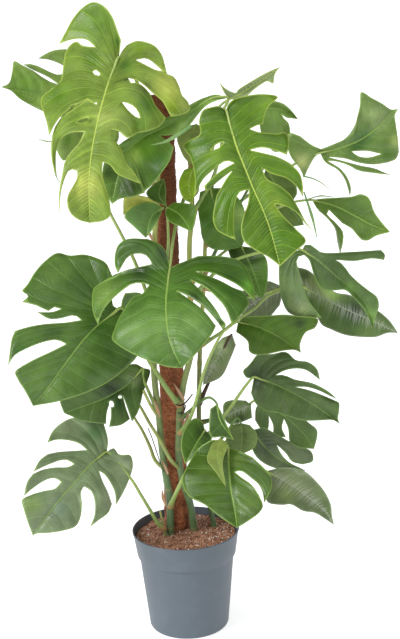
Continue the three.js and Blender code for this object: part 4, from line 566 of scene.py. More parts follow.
# Loose strips of leaf, dry sheaths at the vines' nodes, the tie's loose end and an aerial root: name, finish,
# how flat, half the width in mm at foot, middle and end, and the route
TRIMS = [
    ("leaf_03_curl", "strip", 0.25, (3, 4, 0.5),
     [(191, 126, -95), (184, 131, -105), (176, 136, -112), (164, 142, -112), (151, 145, -108)]),
    ("leaf_01_drip", "strip", 0.4, (1.5, 1, 0.4),
     [(54, 168, -150), (56, 176, -152), (60, 182, -152), (67, 185, -150)]),
    ("leaf_08_strip", "strip", 0.2, (1.5, 3.2, 0.8),
     [(304, 192, -5), (308, 204, -8), (313, 220, -12), (317, 238, -18)]),
    ("leaf_08_strand", "strip", 0.3, (1, 1.6, 0.6), [(308, 199, -2), (320, 196, -2), (334, 197, -6)]),
    ("leaf_07_drip", "strip", 0.4, (1.8, 1.3, 0.5),
     [(303, 176, 20), (314, 179, 15), (323, 184, 10), (330, 190, 5)]),
    ("leaf_02_tip", "strip", 0.3, (0.5, 1.6, 1.2), [(38, 139, 60), (45, 141, 62), (53, 142, 64)]),
    ("sheath_1", "sheath", 0.4, (0.8, 4, 2.5), [(174, 384, -26), (178, 390, -26), (184, 400, -24)]),
    ("sheath_2", "sheath", 0.4, (1, 4, 2.5), [(189, 411, -26), (187, 419, -26), (182, 431, -24)]),
    ("sheath_3", "sheath", 0.4, (0.8, 3, 2), [(154, 399, -20), (157, 407, -20), (160, 417, -20)]),
    ("sheath_4", "sheath", 0.4, (0.8, 2.5, 1), [(157, 372, -16), (158, 377, -16), (160, 383, -16)]),
    ("sheath_5", "sheath", 0.4, (0.8, 3, 2), [(162, 460, -24), (165, 466, -24), (168, 474, -24)]),
    ("sheath_6", "sheath", 0.4, (1, 4, 2), [(162, 490, -24), (163, 497, -24), (166, 506, -24)]),
    ("sheath_7", "sheath", 0.4, (0.8, 3.5, 2), [(146, 227, -22), (149, 233, -22), (153, 241, -22)]),
    ("tie_end", "tie_wire", 1.0, (1.5, 1.7, 1.4),
     [(175, 403.5, -22), (178, 405.5, -29), (182, 405, -30), (186, 402, -27), (189.5, 398, -22),
      (192.5, 394, -16)]),
    ("aerial_root", "root", 1.0, (1.1, 1.2, 0.8),
     [(148, 428, -6), (152, 438, -14), (156, 450, -20), (160, 462, -24), (164, 472, -22)]),
]
TRIM_SLOT = {"strip": "leaf_mid", "sheath": "vine", "root": "vine", "tie_wire": "tie_wire"}

# ---------------------------------------------------------------- materials

def colour(shade):
    """An sRGB hex value as linear red, green, blue and alpha."""
    parts = [int(shade[k:k + 2], 16) / 255 for k in (1, 3, 5)]
    return (*[x / 12.92 if x <= 0.04045 else ((x + 0.055) / 1.055) ** 2.4 for x in parts], 1.0)


def add(tree, kind, settings=None, links=None):
    """Adds a node with its settings; links fill its inputs, each with a value or another node's output."""
    made = tree.nodes.new(kind)
    for key, value in (settings or {}).items():
        setattr(made, key, value)
    for key, value in (links or {}).items():
        if isinstance(value, bpy.types.NodeSocket):
            tree.links.new(value, made.inputs[key])
        else:
            made.inputs[key].default_value = value
    return made


class Surface:
    """A material in the making: each method adds one node to it and returns that node's output."""

    def __init__(self, name, **values):
        self.material = bpy.data.materials.new(name)
        self.material.use_nodes = True
        self.tree = self.material.node_tree
        self.shader = self.tree.nodes["Principled BSDF"]
        for key, value in values.items():
            self.shader.inputs[key.replace("_", " ")].default_value = value

    def give(self, socket, output):
        self.tree.links.new(output, self.shader.inputs[socket])

    def measure(self, name, output="Fac"):
        """A measure or colour that the piece's mesh carries."""
        return add(self.tree, "ShaderNodeAttribute", {"attribute_name": name}).outputs[output]

    def spot(self, **mapping):
        """The place on the object, in metres; mapping turns or stretches it."""
        spot = add(self.tree, "ShaderNodeTexCoord").outputs["Object"]
        if not mapping:
            return spot
        return add(self.tree, "ShaderNodeMapping", None, {"Vector": spot, **mapping}).outputs[0]

    def noise(self, spot, scale, detail=2.0, roughness=0.5):
        """Noise with scale bumps to a metre."""
        return add(self.tree, "ShaderNodeTexNoise", None, {"Vector": spot, "Scale": scale, "Detail": detail,
                                                           "Roughness": roughness}).outputs[0]

    def calc(self, operation, *values):
        return add(self.tree, "ShaderNodeMath", {"operation": operation}, dict(enumerate(values))).outputs[0]

    def ranged(self, value, low, high, start=0.0, end=1.0, kind="LINEAR"):
        """The value, where low gives start and high gives end."""
        return add(self.tree, "ShaderNodeMapRange", {"interpolation_type": kind},
                   {0: value, 1: low, 2: high, 3: start, 4: end}).outputs[0]

    def eased(self, value, low, high, start=0.0, end=1.0):
        return self.ranged(value, low, high, start, end, "SMOOTHSTEP")

    def mixed(self, share, first, second):
        """Two colours, hex values or outputs, mixed by the second one's share."""
        first, second = (colour(paint) if isinstance(paint, str) else paint for paint in (first, second))
        links = {0: share, 6: first, 7: second}
        return add(self.tree, "ShaderNodeMix", {"data_type": "RGBA"}, links).outputs[2]

    def lit(self, value, shade):
        """A colour made lighter or darker."""
        return add(self.tree, "ShaderNodeHueSaturation", None, {"Value": value, "Color": shade}).outputs[0]

    def bump(self, height, strength, depth, sunk=False):
        """Relief of the given depth, in metres."""
        made = add(self.tree, "ShaderNodeBump", {"invert": sunk},
                   {"Strength": strength, "Distance": depth, "Height": height})
        self.give("Normal", made.outputs[0])


def living_leaf(name, roughness, coat, shine, pleats, ribbed, painted_sheen_share, rib, vein, under):
    """Waxy leaf tissue, grown: its cuticle gives a soft sheen that breaks over sunken veins and over the
    fine pleats beside the midrib, whose valleys are painted darker as shade; the midrib and veins are paler
    than the tissue, which is painted lighter beside them, as a sheen, and a little darker at the lobes' ends,
    the thin margin is painted pale as a highlight, streaks of painted sheen lie along the pleats and side
    veins where the finish has them, and the under side is matt and greyer."""
    leaf = Surface(name, Coat_Weight=coat, Coat_Roughness=0.22, IOR=1.45, Specular_IOR_Level=shine)
    below, spot = leaf.measure("under"), leaf.spot()
    number, out, _ = add(leaf.tree, "ShaderNodeSeparateXYZ", None, {
        0: add(leaf.tree, "ShaderNodeUVMap", {"uv_map": "veins"}).outputs[0]}).outputs
    # side veins, 30 mm apart and about 2 mm wide
    off = leaf.calc("ABSOLUTE", leaf.calc("SUBTRACT", leaf.calc("FRACT", number), 0.5))
    side = leaf.eased(off, 0.012, 0.055, 1.0, 0.0)
    # cross veins, about 7 mm apart, slanting from one side vein to the next
    slant = leaf.calc("MULTIPLY_ADD", out, 13.0, leaf.calc("MULTIPLY", off, -4.0))
    cross = leaf.eased(leaf.calc("PINGPONG", slant, 0.5), 0.02, 0.14, 1.0, 0.0)
    # the midrib, 6 mm wide at the base and 2 mm at the tip, and the margin, 2 mm wide, painted pale as a
    # highlight along the edge
    width = leaf.calc("MULTIPLY_ADD", leaf.measure("along"), -1.9, 2.9)
    midrib = leaf.eased(leaf.calc("DIVIDE", leaf.measure("rib_mm"), width), 0.4, 1.1, ribbed, 0.0)
    margin_highlight = leaf.eased(leaf.measure("edge_mm"), 0.4, 3.6, 0.6, 0.0)
    # fine pleats, 7 mm apart, that fade away from the midrib
    near_rib = leaf.eased(out, 0.05, 0.7, 1.0, 0.0)
    pleat = leaf.eased(leaf.calc("PINGPONG", leaf.calc("MULTIPLY", number, 4.0), 0.5), 0.0, 0.5, 0.0, pleats)
    pleat = leaf.calc("MULTIPLY", pleat, near_rib)
    # mottling 36 mm wide, as older and younger tissue shows
    cloud = leaf.noise(spot, 28.0, 4.0, 0.6)
    # painted light: the tissue is painted lighter beside the midrib, as a sheen, and a little darker towards
    # the lobes' ends
    painted_brightness = leaf.eased(out, 0.05, 0.75, 1.08, 0.97)
    shade = leaf.calc("MULTIPLY", leaf.ranged(cloud, 0.3, 0.7, 0.74, 1.2), painted_brightness)
    # painted shade: the pleats' sunk valleys are painted darker; the cross and side veins are paler
    for relief, share in ((pleat, -0.16), (cross, 0.08), (side, 0.2)):
        shade = leaf.calc("MULTIPLY_ADD", relief, share, shade)
    look = leaf.lit(shade, leaf.measure("tint", "Color"))
    # a painted pale sheen lies in streaks along the pleats and the side veins
    streak = leaf.calc("MULTIPLY", leaf.calc("MAXIMUM", pleat, side), near_rib)
    for share, paint in ((leaf.calc("MULTIPLY", side, 0.16), vein),
                         (leaf.calc("MULTIPLY", streak, painted_sheen_share), "#B7B9AE"), (midrib, rib), (margin_highlight, rib),
                         (leaf.calc("MULTIPLY", below, 0.55), under)):
        look = leaf.mixed(share, look, paint)
    leaf.give("Base Color", look)
    gloss = leaf.ranged(cloud, 0.3, 0.7, roughness - 0.05, roughness + 0.07)
    leaf.give("Roughness", leaf.calc("MULTIPLY_ADD", below, 0.25, gloss))
    # the skin between the sunken veins is finely pebbled, drawn 3 mm wide so that it shows
    height = leaf.noise(spot, 330.0)
    for relief, share in ((side, -0.8), (cross, -0.35), (pleat, -2.4)):
        height = leaf.calc("MULTIPLY_ADD", relief, share, height)
    leaf.bump(height, 0.5, 0.0012)
    return leaf.material


def living_stem(name, young, old, scar, roughness):
    """Smooth green stem, grown: long fine streaks, a paler young end, and corky scars at its nodes."""
    stem = Surface(name, IOR=1.45)
    streak = stem.noise(stem.spot(Scale=(1.0, 1.0, 0.12)), 420.0, 3.0)
    look = stem.lit(stem.ranged(streak, 0.3, 0.7, 0.78, 1.2), stem.mixed(stem.measure("along"), old, young))
    stem.give("Base Color", stem.mixed(stem.measure("scar"), look, scar))
    stem.give("Roughness", stem.ranged(streak, 0.3, 0.7, roughness - 0.06, roughness + 0.1))
    stem.bump(streak, 0.3, 0.0006)
    return stem.material


def dry_fibre(name, light, dark, deep):
    """Coconut coir, retted and bound: matt red-brown fibre with paler strands and dark damp patches, and
    painted shade darkens the pole from 0.45 m up.
    """
    coir = Surface(name, Roughness=0.95, Specular_IOR_Level=0.15)
    spot = coir.spot()
    # strands about 2 mm thick that run round the pole at a slant
    strand = coir.noise(coir.spot(Rotation=(0.5, 0.2, 0.0), Scale=(0.25, 0.25, 1.0)), 520.0, 5.0, 0.7)
    # patches 26 mm wide are damp and dark, and the pole from 0.45 m up is painted darker, as shade under the
    # leaves
    patch = coir.ranged(coir.noise(spot, 38.0, 3.0, 0.6), 0.42, 0.68, 0.0, 0.75)
    height = add(coir.tree, "ShaderNodeSeparateXYZ", None, {0: spot}).outputs[2]
    damp_and_shade = coir.calc("MAXIMUM", patch, coir.ranged(height, 0.45, 0.8, 0.0, 0.62))
    look = coir.mixed(coir.ranged(strand, 0.36, 0.62), dark, light)
    coir.give("Base Color", coir.mixed(damp_and_shade, look, deep))
    coir.bump(strand, 0.8, 0.0015)
    return coir.material


def potting_mix(name, light, dark, deep):
    """Peat and coir mix, loose and damp: matt brown grains of many sizes, with the sunk gaps between them
    painted near black as shade.
    """
    mix = Surface(name, Roughness=0.97, Specular_IOR_Level=0.2)
    spot = mix.spot()
    grain = add(mix.tree, "ShaderNodeTexVoronoi", None, {"Vector": spot, "Scale": 260.0}).outputs["Distance"]
    look = mix.mixed(mix.ranged(mix.noise(spot, 75.0, 5.0, 0.7), 0.36, 0.64), dark, light)
    # painted shade: the gaps between the grains, sunk by the bump, are painted near black
    mix.give("Base Color", mix.mixed(mix.ranged(grain, 0.35, 0.8, 0.0, 0.7), look, deep))
    mix.bump(grain, 0.9, 0.002, sunk=True)
    return mix.material


def moulded_plastic(name, base, scuffed):
    """Polypropylene, injection-moulded: satin slate grey with a faint orange-peel skin and paler scuffs."""
    skin = Surface(name, IOR=1.49, Specular_IOR_Level=0.45)
    spot = skin.spot()
    cloud = skin.noise(spot, 22.0, 6.0, 0.65)
    skin.give("Base Color", skin.mixed(skin.ranged(cloud, 0.5, 0.75, 0.0, 0.45), base, scuffed))
    skin.give("Roughness", skin.ranged(cloud, 0.3, 0.7, 0.4, 0.52))
    skin.bump(skin.noise(spot, 900.0), 0.15, 0.0003)
    return skin.material


def mineral_grain(name, base, shaded):
    """Perlite, expanded by heat: chalk-white matt grains, pitted, with the pits painted a darker grey-brown:
    painted shade and a little stain from the mix.
    """
    grain = Surface(name, Roughness=0.9)
    pit = grain.noise(grain.spot(), 700.0, 3.0)
    grain.give("Base Color", grain.mixed(pit, shaded, base))
    grain.bump(pit, 0.5, 0.0006)
    return grain.material


# Leaves: roughness, coat, specular level, depth of the pleats, share of the midrib's colour, share of the
# painted sheen streaks, and the colours of midrib, veins and under side
LEAF_FINISH = {
    "young": (0.34, 0.05, 0.4, 1.1, 0.9, 0.0, "#B4C85C", "#98B43A", "#9DB86A"),
    "mid": (0.36, 0.15, 0.45, 0.22, 0.7, 0.0, "#93B254", "#6F9A40", "#7F9C6A"),
    "dark": (0.40, 0.1, 0.4, 0.25, 0.6, 0.0, "#7B9B50", "#51783A", "#6C8560"),
    "olive": (0.48, 0.05, 0.35, 0.4, 0.5, 0.0, "#869850", "#687C3A", "#7C8860"),
    # the tone whose pleats and veins carry streaks of painted sheen
    "painted_sheen": (0.40, 0.1, 0.4, 0.8, 0.6, 0.55, "#9DA58C", "#51783A", "#6C8560"),
}
# Stems: the material's name, the colours of the young end, the old end and the scars, and the roughness
STEM_FINISH = {
    "vine": ("vine_smooth_green", "#A9AE5F", "#567047", "#B08C60", 0.45),
    "petiole": ("petiole_smooth_green", "#9DB05F", "#7A9350", "#B28358", 0.42),
    "petiole_shaded": ("petiole_shaded_green", "#5F7E3E", "#557038", "#8A6B48", 0.42),
    "petiole_purple": ("petiole_purple_brown", "#5C4A38", "#4E3A32", "#6E4F3C", 0.42),
    "strip": ("leaf_strip_waxy", "#8FAE6C", "#6F9657", "#8FAE6C", 0.45),
    "sheath": ("sheath_dry_papery", "#B89272", "#A07A5C", "#7A5440", 0.7),
    "root": ("aerial_root_corky", "#3A2A20", "#2E2019", "#54402F", 0.7),
}
FINISH = {
    **{"leaf_" + tone: living_leaf("leaf_" + tone + "_waxy", *values)
       for tone, values in LEAF_FINISH.items()},
    **{key: living_stem(*values) for key, values in STEM_FINISH.items()},
    "coir": dry_fibre("coir_bound_fibre", "#CC845A", "#7E4530", "#38201A"),
    "potting_soil": potting_mix("peat_coir_mix", "#C49478", "#8E604B", "#3B241B"),
    "perlite": mineral_grain("perlite_expanded", "#E9E6DF", "#B5A89A"),
    "pot_plastic": moulded_plastic("polypropylene_moulded_slate", "#566069", "#646E76"),
    "tie_wire": moulded_plastic("wire_coating_black_pvc", "#1D1D1B", "#2C2C2A"),
}

# ---------------------------------------------------------------- the picture's places in space

forward = np.array([0.0, -EYE[1], AIM_HEIGHT - EYE[2]])
forward /= np.linalg.norm(forward)
level = np.array([1.0, 0.0, 0.0])
rise = np.cross(level, forward)
across = level * math.cos(LEAN) - rise * math.sin(LEAN)
upward = rise * math.cos(LEAN) + level * math.sin(LEAN)


def place(spots, depths):
    """The points of the given depths that are seen at [across, down], in millimetres."""
    spots = np.asarray(spots, float)
    ray = (forward + across * ((spots[..., :1] - CENTRE[0]) / FOCUS)
           + upward * ((CENTRE[1] - spots[..., 1:2]) / FOCUS))
    return EYE + ray * ((np.asarray(depths) - EYE[1]) / ray[..., 1])[..., None]


def route_of(stem):
    return place([spot[:2] for spot in stem], [spot[2] for spot in stem])


def smooth_line(points, steps=24):
    """A smooth curve through points as a dense line of points, and the way along it from 0 to 1."""
    p = np.asarray(points, float)
    if len(p) == 1:
        return np.repeat(p, 2, axis=0), np.array([0.0, 1.0])
    p = np.vstack([2 * p[0] - p[1], p, 2 * p[-1] - p[-2]])
    line = []
    for a, b, c, d in zip(p, p[1:], p[2:], p[3:]):
        gaps = [max(np.linalg.norm(y - x) ** 0.5, 1e-4) for x, y in ((a, b), (b, c), (c, d))]
        t1 = ((b - a) / gaps[0] - (c - a) / (gaps[0] + gaps[1]) + (c - b) / gaps[1]) * gaps[1]
        t2 = ((c - b) / gaps[1] - (d - b) / (gaps[1] + gaps[2]) + (d - c) / gaps[2]) * gaps[1]
        t = np.linspace(0, 1, steps, endpoint=False)[:, None]
        line.append(b + t1 * t + (3 * (c - b) - 2 * t1 - t2) * t ** 2 + (2 * (b - c) + t1 + t2) * t ** 3)
    line = np.vstack([*line, p[-2:-1]])
    way = np.concatenate([[0], np.cumsum(np.linalg.norm(np.diff(line, axis=0), axis=1))])
    return line, way / max(way[-1], TINY)


def at_shares(line, way, shares):
    """The points of a line at the given shares of its way."""
    return np.stack([np.interp(shares, way, line[:, k]) for k in range(line.shape[1])], axis=-1)


def read_off(points, shares):
    """Points at the given shares of the way along the smooth curve through points."""
    return at_shares(*smooth_line(points), shares)


def length_of(line):
    return np.linalg.norm(np.diff(line, axis=0), axis=1).sum()


# ---------------------------------------------------------------- leaf blades
# A blade's outline and slits follow no primitive, so its sheet is built lobe by lobe: each lobe is a
# grid between its midrib stretch, its two sides and its edge, and neighbours share the vein between them.

def side_of_lobe(root, cut, bends, end, first, last):
    """One side of a lobe, a point for each row from the midrib to the edge."""
    rows = np.arange(ROWS + 1)
    slit, close = cut.get("slit"), cut.get("close")
    side = read_off([slit or root, *bends, close or end], np.clip((rows - first) / (last - first), 0, 1))
    for row in range(first):
        side[row] = root + (np.array(slit) - root) * (row / first)
    for row in range(last + 1, ROWS + 1):
        side[row] = close + (end - np.array(close)) * ((row - last) / (ROWS - last))
    side[0], side[ROWS] = root, end
    return side


def rows_between(root, cut, end):
    """The first and the last row of a lobe's free side."""
    if "slit" not in cut:
        return 0, ROWS
    inner = np.linalg.norm(np.subtract(root, cut["slit"]))
    whole = inner + np.linalg.norm(np.subtract(cut["slit"], end))
    first = int(np.clip(round(ROWS * inner / whole), 1, ROWS - 1))
    if "close" not in cut:
        return first, ROWS
    outer = np.linalg.norm(np.subtract(cut["close"], end))
    last = int(np.clip(round(ROWS * (1 - outer / whole)), 2, ROWS - 1))
    return min(first, last - 1), last


class Sheet:
    """A flat sheet of triangles; corners that coincide are one vertex. A corner is [u, v, vein, out, rise]:
    its vein number, its way out from the midrib and how far its lobe lifts it, in mm on a large leaf."""

    def __init__(self):
        self.spots, self.known, self.faces, self.maps = [], {}, [], []

    def vertex(self, corner):
        key = (round(corner[0], 2), round(corner[1], 2))
        if key not in self.known:
            self.known[key] = len(self.spots)
            self.spots.append(corner[:2])
        return self.known[key]

    def triangle(self, corners, turned):
        index = [self.vertex(corner) for corner in corners]
        if len(set(index)) < 3:
            return
        step = -1 if turned else 1
        self.faces.append(index[::step])
        self.maps.append([corner[2:] for corner in corners[::step]])

    def strip(self, near, far, turned):
        """Triangles between two lines of corners that may differ in number."""
        i = j = 0
        while i < len(near) - 1 or j < len(far) - 1:
            near_next, far_next = (i + 1) / max(1, len(near) - 1), (j + 1) / max(1, len(far) - 1)
            if j == len(far) - 1 or (i < len(near) - 1 and near_next <= far_next):
                self.triangle([near[i], near[i + 1], far[j]], turned)
                i += 1
            else:
                self.triangle([near[i], far[j + 1], far[j]], turned)
                j += 1


def pierce(sheet, spots, u, v, long, short, slope):
    """Cuts an oval hole into a sheet: its triangles go, and the corners left inside move to its rim."""
    turned = np.array([[math.cos(slope), math.sin(slope)], [-math.sin(slope), math.cos(slope)]])
    inside = (spots - (u, v)) @ turned.T / (long, short)
    reach = np.maximum(np.linalg.norm(inside, axis=1), 1e-3)
    middle = np.array([np.linalg.norm(inside[face].mean(axis=0)) for face in sheet.faces])
    rim = sorted({index for k in np.flatnonzero(middle < 1) for index in sheet.faces[k]})
    kept = np.flatnonzero(middle >= 1)
    sheet.faces = [sheet.faces[k] for k in kept]
    sheet.maps = [sheet.maps[k] for k in kept]
    spots[rim] = (inside[rim] / reach[rim, None] * (long, short)) @ turned + (u, v)


def evened(grid):
    """Spreads out the inner points of a lobe's grid, so that no row crosses another where the lobe bends."""
    for _ in range(EVENING_PASSES):
        out, back = grid[2:, 1:-1], grid[:-2, 1:-1]
        after, before = grid[1:-1, 2:], grid[1:-1, :-2]
        outward, sideways = (out - back) / 2, (after - before) / 2
        long, wide = (outward ** 2).sum(axis=2, keepdims=True), (sideways ** 2).sum(axis=2, keepdims=True)
        skew = (outward * sideways).sum(axis=2, keepdims=True)
        corners = grid[2:, 2:] - grid[2:, :-2] - grid[:-2, 2:] + grid[:-2, :-2]
        pulled = wide * (out + back) + long * (after + before) - skew * corners / 2
        grid[1:-1, 1:-1] = pulled / (2 * (long + wide) + TINY)
    return grid


def free_way(cut, split, out):
    """How far beyond the inner end of its slit a lobe's side is, from 0 to 1; joined sides give 0."""
    if "slit" not in cut or "close" in cut:
        return 0 * out
    inner = split[0] / ROWS
    return np.clip((out - inner) / (1 - inner), 0, 1) ** FREE_START


def add_half(sheet, lobes, midrib, roots, turned, rng):
    """One half of a blade: its lobes in order from the base to the tip."""
    start, cut, split, vein = 0.0, {}, (0, ROWS), 0.0
    for part in lobes:
        end = part.get("root", 1.0)
        next_cut = {key: part[key] for key in ("slit", "close") if key in part}
        tip = np.array(part["edge"][-1], float)
        foot, head = midrib(start), midrib(end)
        next_split = rows_between(head, next_cut, tip)
        low = side_of_lobe(foot, cut, part.get("low", []), np.array(part["edge"][0], float), *split)
        high = side_of_lobe(head, next_cut, part.get("high", []), tip, *next_split)
        edge_length = length_of(smooth_line(part["edge"])[0]) / SQUARES_PER_MM
        stretch_length = np.linalg.norm(head - foot) / SQUARES_PER_MM
        columns = int(np.clip(round(max(edge_length, stretch_length) / COLUMN_WIDTH), *COLUMNS))
        veins = max(1, round((edge_length + stretch_length) / 2 / VEIN_SPACING))
        side = np.linspace(0, 1, columns + 1)[None, :, None]
        out = np.linspace(0, 1, ROWS + 1)[:, None, None]
        stretch = midrib(start + (end - start) * side[0, :, 0])
        edge = read_off(part["edge"], side[0, :, 0])
        grid = evened((1 - side) * low[:, None] + side * high[:, None] + (1 - out) * stretch + out * edge
                      - (1 - out) * ((1 - side) * low[0] + side * high[0])
                      - out * ((1 - side) * low[ROWS] + side * high[ROWS]))
        # each lobe is bowed, and its free end hangs, lifts and twists in its own way
        free = (1 - side) * free_way(cut, split, out) + side * free_way(next_cut, next_split, out)
        if part is lobes[0]:
            free = free + (1 - side) * out ** FREE_START
        lift = (BOW * 4 * side * (1 - side) * np.clip(out * 1.5, 0, 1) - HANG * out ** 2
                + free * (LIFT * rng.uniform(-1, 1) + TWIST * rng.choice((-1, 1)) * (2 * side - 1)))
        at_tip = (1 - side ** 3) if part is lobes[-1] else 1 + 0 * side
        maps = np.concatenate([vein + veins * side + 0 * out, out + 0 * side, lift * at_tip], axis=2)
        corners = np.concatenate([grid, maps], axis=2)
        close_by = 1e-6
        spine = [(*midrib(share), vein + veins * (share - start) / max(end - start, close_by), 0.0, 0.0)
                 for share in roots if start - close_by <= share <= end + close_by]
        sheet.strip(spine, corners[1].tolist(), turned)
        for row in range(1, ROWS):
            sheet.strip(corners[row].tolist(), corners[row + 1].tolist(), turned)
        start, cut, split, vein = end, next_cut, next_split, vein + veins


def lie_of(shape, spots):
    """How far along its midrib a leaf's places are, and the blade's depth there."""
    base, tip = np.array(shape["midrib"][0], float), np.array(shape["midrib"][-1], float)
    length = np.linalg.norm(tip - base)
    du, dv = (tip - base) / length
    u, v = spots[:, 0] - base[0], spots[:, 1] - base[1]
    along, aside = (u * du + v * dv) / length, v * du - u * dv
    along = np.where(along < 0, BASAL_LEAN * along, along)
    near, far = shape["depth"]
    depth = (near + (far - near) * along - shape["arch"] * 4 * along * (1 - along)
             + shape["droop"] * (aside / DROOP_SPAN) ** 2 + shape["turn"] * aside)
    return along, depth


def distance_to(spots, ends):
    """Each spot's distance in mm to the nearest of the stretches between pairs of ends."""
    best = np.full(len(spots), np.inf)
    for a, b in ends:
        way = b - a
        share = np.clip(((spots - a) @ way) / max(way @ way, TINY), 0, 1)
        best = np.minimum(best, np.linalg.norm(spots - a - share[:, None] * way, axis=1))
    return best / SQUARES_PER_MM


def flat_sheet(shape, rng):
    """A blade's sheet in the picture, its holes cut: the sheet, its spots and the ends of its rim's edges."""
    line, way = smooth_line(shape["midrib"])

    def midrib(share):
        return at_shares(line, way, share)

    sheet = Sheet()
    roots = sorted({round(i / RIB_STEPS, 4) for i in range(RIB_STEPS + 1)}
                   | {part.get("root", 1.0) for part in shape["left"] + shape["right"]})
    add_half(sheet, shape["left"], midrib, roots, False, rng)
    add_half(sheet, shape["right"], midrib, roots, True, rng)
    spots = np.array(sheet.spots)
    for hole in shape.get("holes", []):
        pierce(sheet, spots, *hole)
    used = sorted({index for face in sheet.faces for index in face})
    renumbered = {index: k for k, index in enumerate(used)}
    sheet.faces = [[renumbered[index] for index in face] for face in sheet.faces]
    directed = {(a, b) for face in sheet.faces for a, b in zip(face, face[1:] + face[:1])}
    return sheet, spots[used], [(a, b) for a, b in directed if (b, a) not in directed]


def relief_of(faces, maps, rib_mm, edge_mm, rng):
    """How far a blade's spots lie behind its even sheet, in mm: between the veins it puffs up towards the
    viewer, the midrib lies in a fold, the edges wave, and each lobe has a lift of its own."""
    vein, out, lift = (np.zeros(len(rib_mm)) for _ in range(3))
    for k, values in enumerate((vein, out, lift)):
        values[faces.ravel()] = maps[..., k].ravel()
    phase, swing = rng.uniform(0, FULL_TURN), rng.uniform(0.7, 1.2)
    puff = np.abs(np.sin(math.pi * (vein + 0.5))) ** 0.8
    puff *= np.clip(rib_mm / PUFF_START, 0, 1) * (1 - 0.5 * out)
    crease = np.exp(-(rib_mm / FOLD_WIDTH) ** 2)
    wave = np.sin(vein * WAVE_STEP * swing + phase) * out ** 2 * np.clip(edge_mm.max() / PUFF_START, 0, 1)
    return min(1.0, rib_mm.max() / LARGE_LEAF) * (PUFF * (0.5 - puff) + FOLD * crease + WAVE * wave - lift)


def normals_of(points, faces):
    corners = points[faces]
    face_normals = np.cross(corners[:, 1] - corners[:, 0], corners[:, 2] - corners[:, 0])
    normals = np.zeros_like(points)
    for k in range(3):
        np.add.at(normals, faces[:, k], face_normals)
    return normals / np.linalg.norm(normals, axis=1)[:, None]


def tints_of(shape, spots):
    """The colour at each spot: the leaf's own tint, itself partly painted light and shade, changed by its
    mottles, which paint light and shade as well as colour.
    """
    tints = np.repeat(np.array([colour(shape["tint"])[:3]]), len(spots), axis=0)
    for u, v, reach, kind in shape.get("mottles", []):
        near = np.exp(-((spots - np.array([u, v])) ** 2).sum(axis=1) / (reach ** 2 / 2))[:, None]
        # each mottle multiplies in its colour and its painted light and shade
        tints *= 1 + (np.array(PAINTED_LIGHT_AND_MOTTLES[kind]) - 1) * near
    return np.concatenate([np.clip(tints, 0, LIGHTEST), np.ones((len(spots), 1))], axis=1)


def give_measure(mesh, name, values):
    mesh.attributes.new(name, "FLOAT", "POINT").data.foreach_set("value", values)


def blade_mesh(shape, name, seed):
    """A blade as a closed mesh with its upper and under side, and the measures that its material reads."""
    rng = random.Random(seed)
    sheet, spots, rim = flat_sheet(shape, rng)
    faces, maps = np.array(sheet.faces), np.array(sheet.maps)
    midrib = smooth_line(shape["midrib"])[0]
    rib_mm = distance_to(spots, zip(midrib, midrib[1:]))
    edge_mm = distance_to(spots, spots[np.array(rim)])
    along, depth = lie_of(shape, spots)
    points = place(spots, depth + relief_of(faces, maps, rib_mm, edge_mm, rng))
    normals = normals_of(points, faces)
    count = len(points)
    # the blade is thinnest at its edge
    half = BLADE_THICKNESS / 2 * np.clip(EDGE_THICKNESS + edge_mm / EDGE_WIDTH, 0, 1)[:, None]
    solid = [tuple(face) for face in faces] + [tuple(face[::-1] + count) for face in faces]
    solid_maps = [m.tolist() for m in maps] + [m[::-1].tolist() for m in maps]
    at = {index: value for face, m in zip(sheet.faces, sheet.maps) for index, value in zip(face, m)}
    for a, b in rim:
        solid.append((b, a, a + count, b + count))
        solid_maps.append([at[b], at[a], at[a], at[b]])
    mesh = bpy.data.meshes.new(name)
    mesh.from_pydata((np.vstack([points + normals * half, points - normals * half]) * MM).tolist(), [], solid)
    mesh.polygons.foreach_set("use_smooth", [True] * len(mesh.polygons))
    layer = mesh.uv_layers.new(name="veins")
    layer.data.foreach_set("uv", np.array([m[:2] for ms in solid_maps for m in ms], float).ravel())
    for key, values in (("rib_mm", rib_mm), ("edge_mm", edge_mm), ("along", along)):
        give_measure(mesh, key, np.concatenate([values, values]))
    hidden = 1.0 if normals[:, 1].mean() < 0 else 0.0  # the upper side is the one that faces the front
    give_measure(mesh, "under", np.repeat([1 - hidden, hidden], count))
    tints = tints_of(shape, spots)
    tint = mesh.color_attributes.new("tint", "FLOAT_COLOR", "POINT")
    tint.data.foreach_set("color", np.concatenate([tints, tints]).ravel())
    mesh.validate()
    mesh.update()
    return mesh


# ---------------------------------------------------------------- pieces

def finish_piece(piece, finish, slot_name, *nodes):
    """Gives a piece its material, lets it ride on the plant and hides the CAD nodes that it stands for."""
    piece.data.materials.clear()
    piece.data.materials.append(FINISH[finish])
    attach(piece, "root")
    if nodes:
        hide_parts(*nodes)
    return piece


def piece_of(name, mesh):
    made = bpy.data.objects.new(name, mesh)
    bpy.context.scene.collection.objects.link(made)
    return made


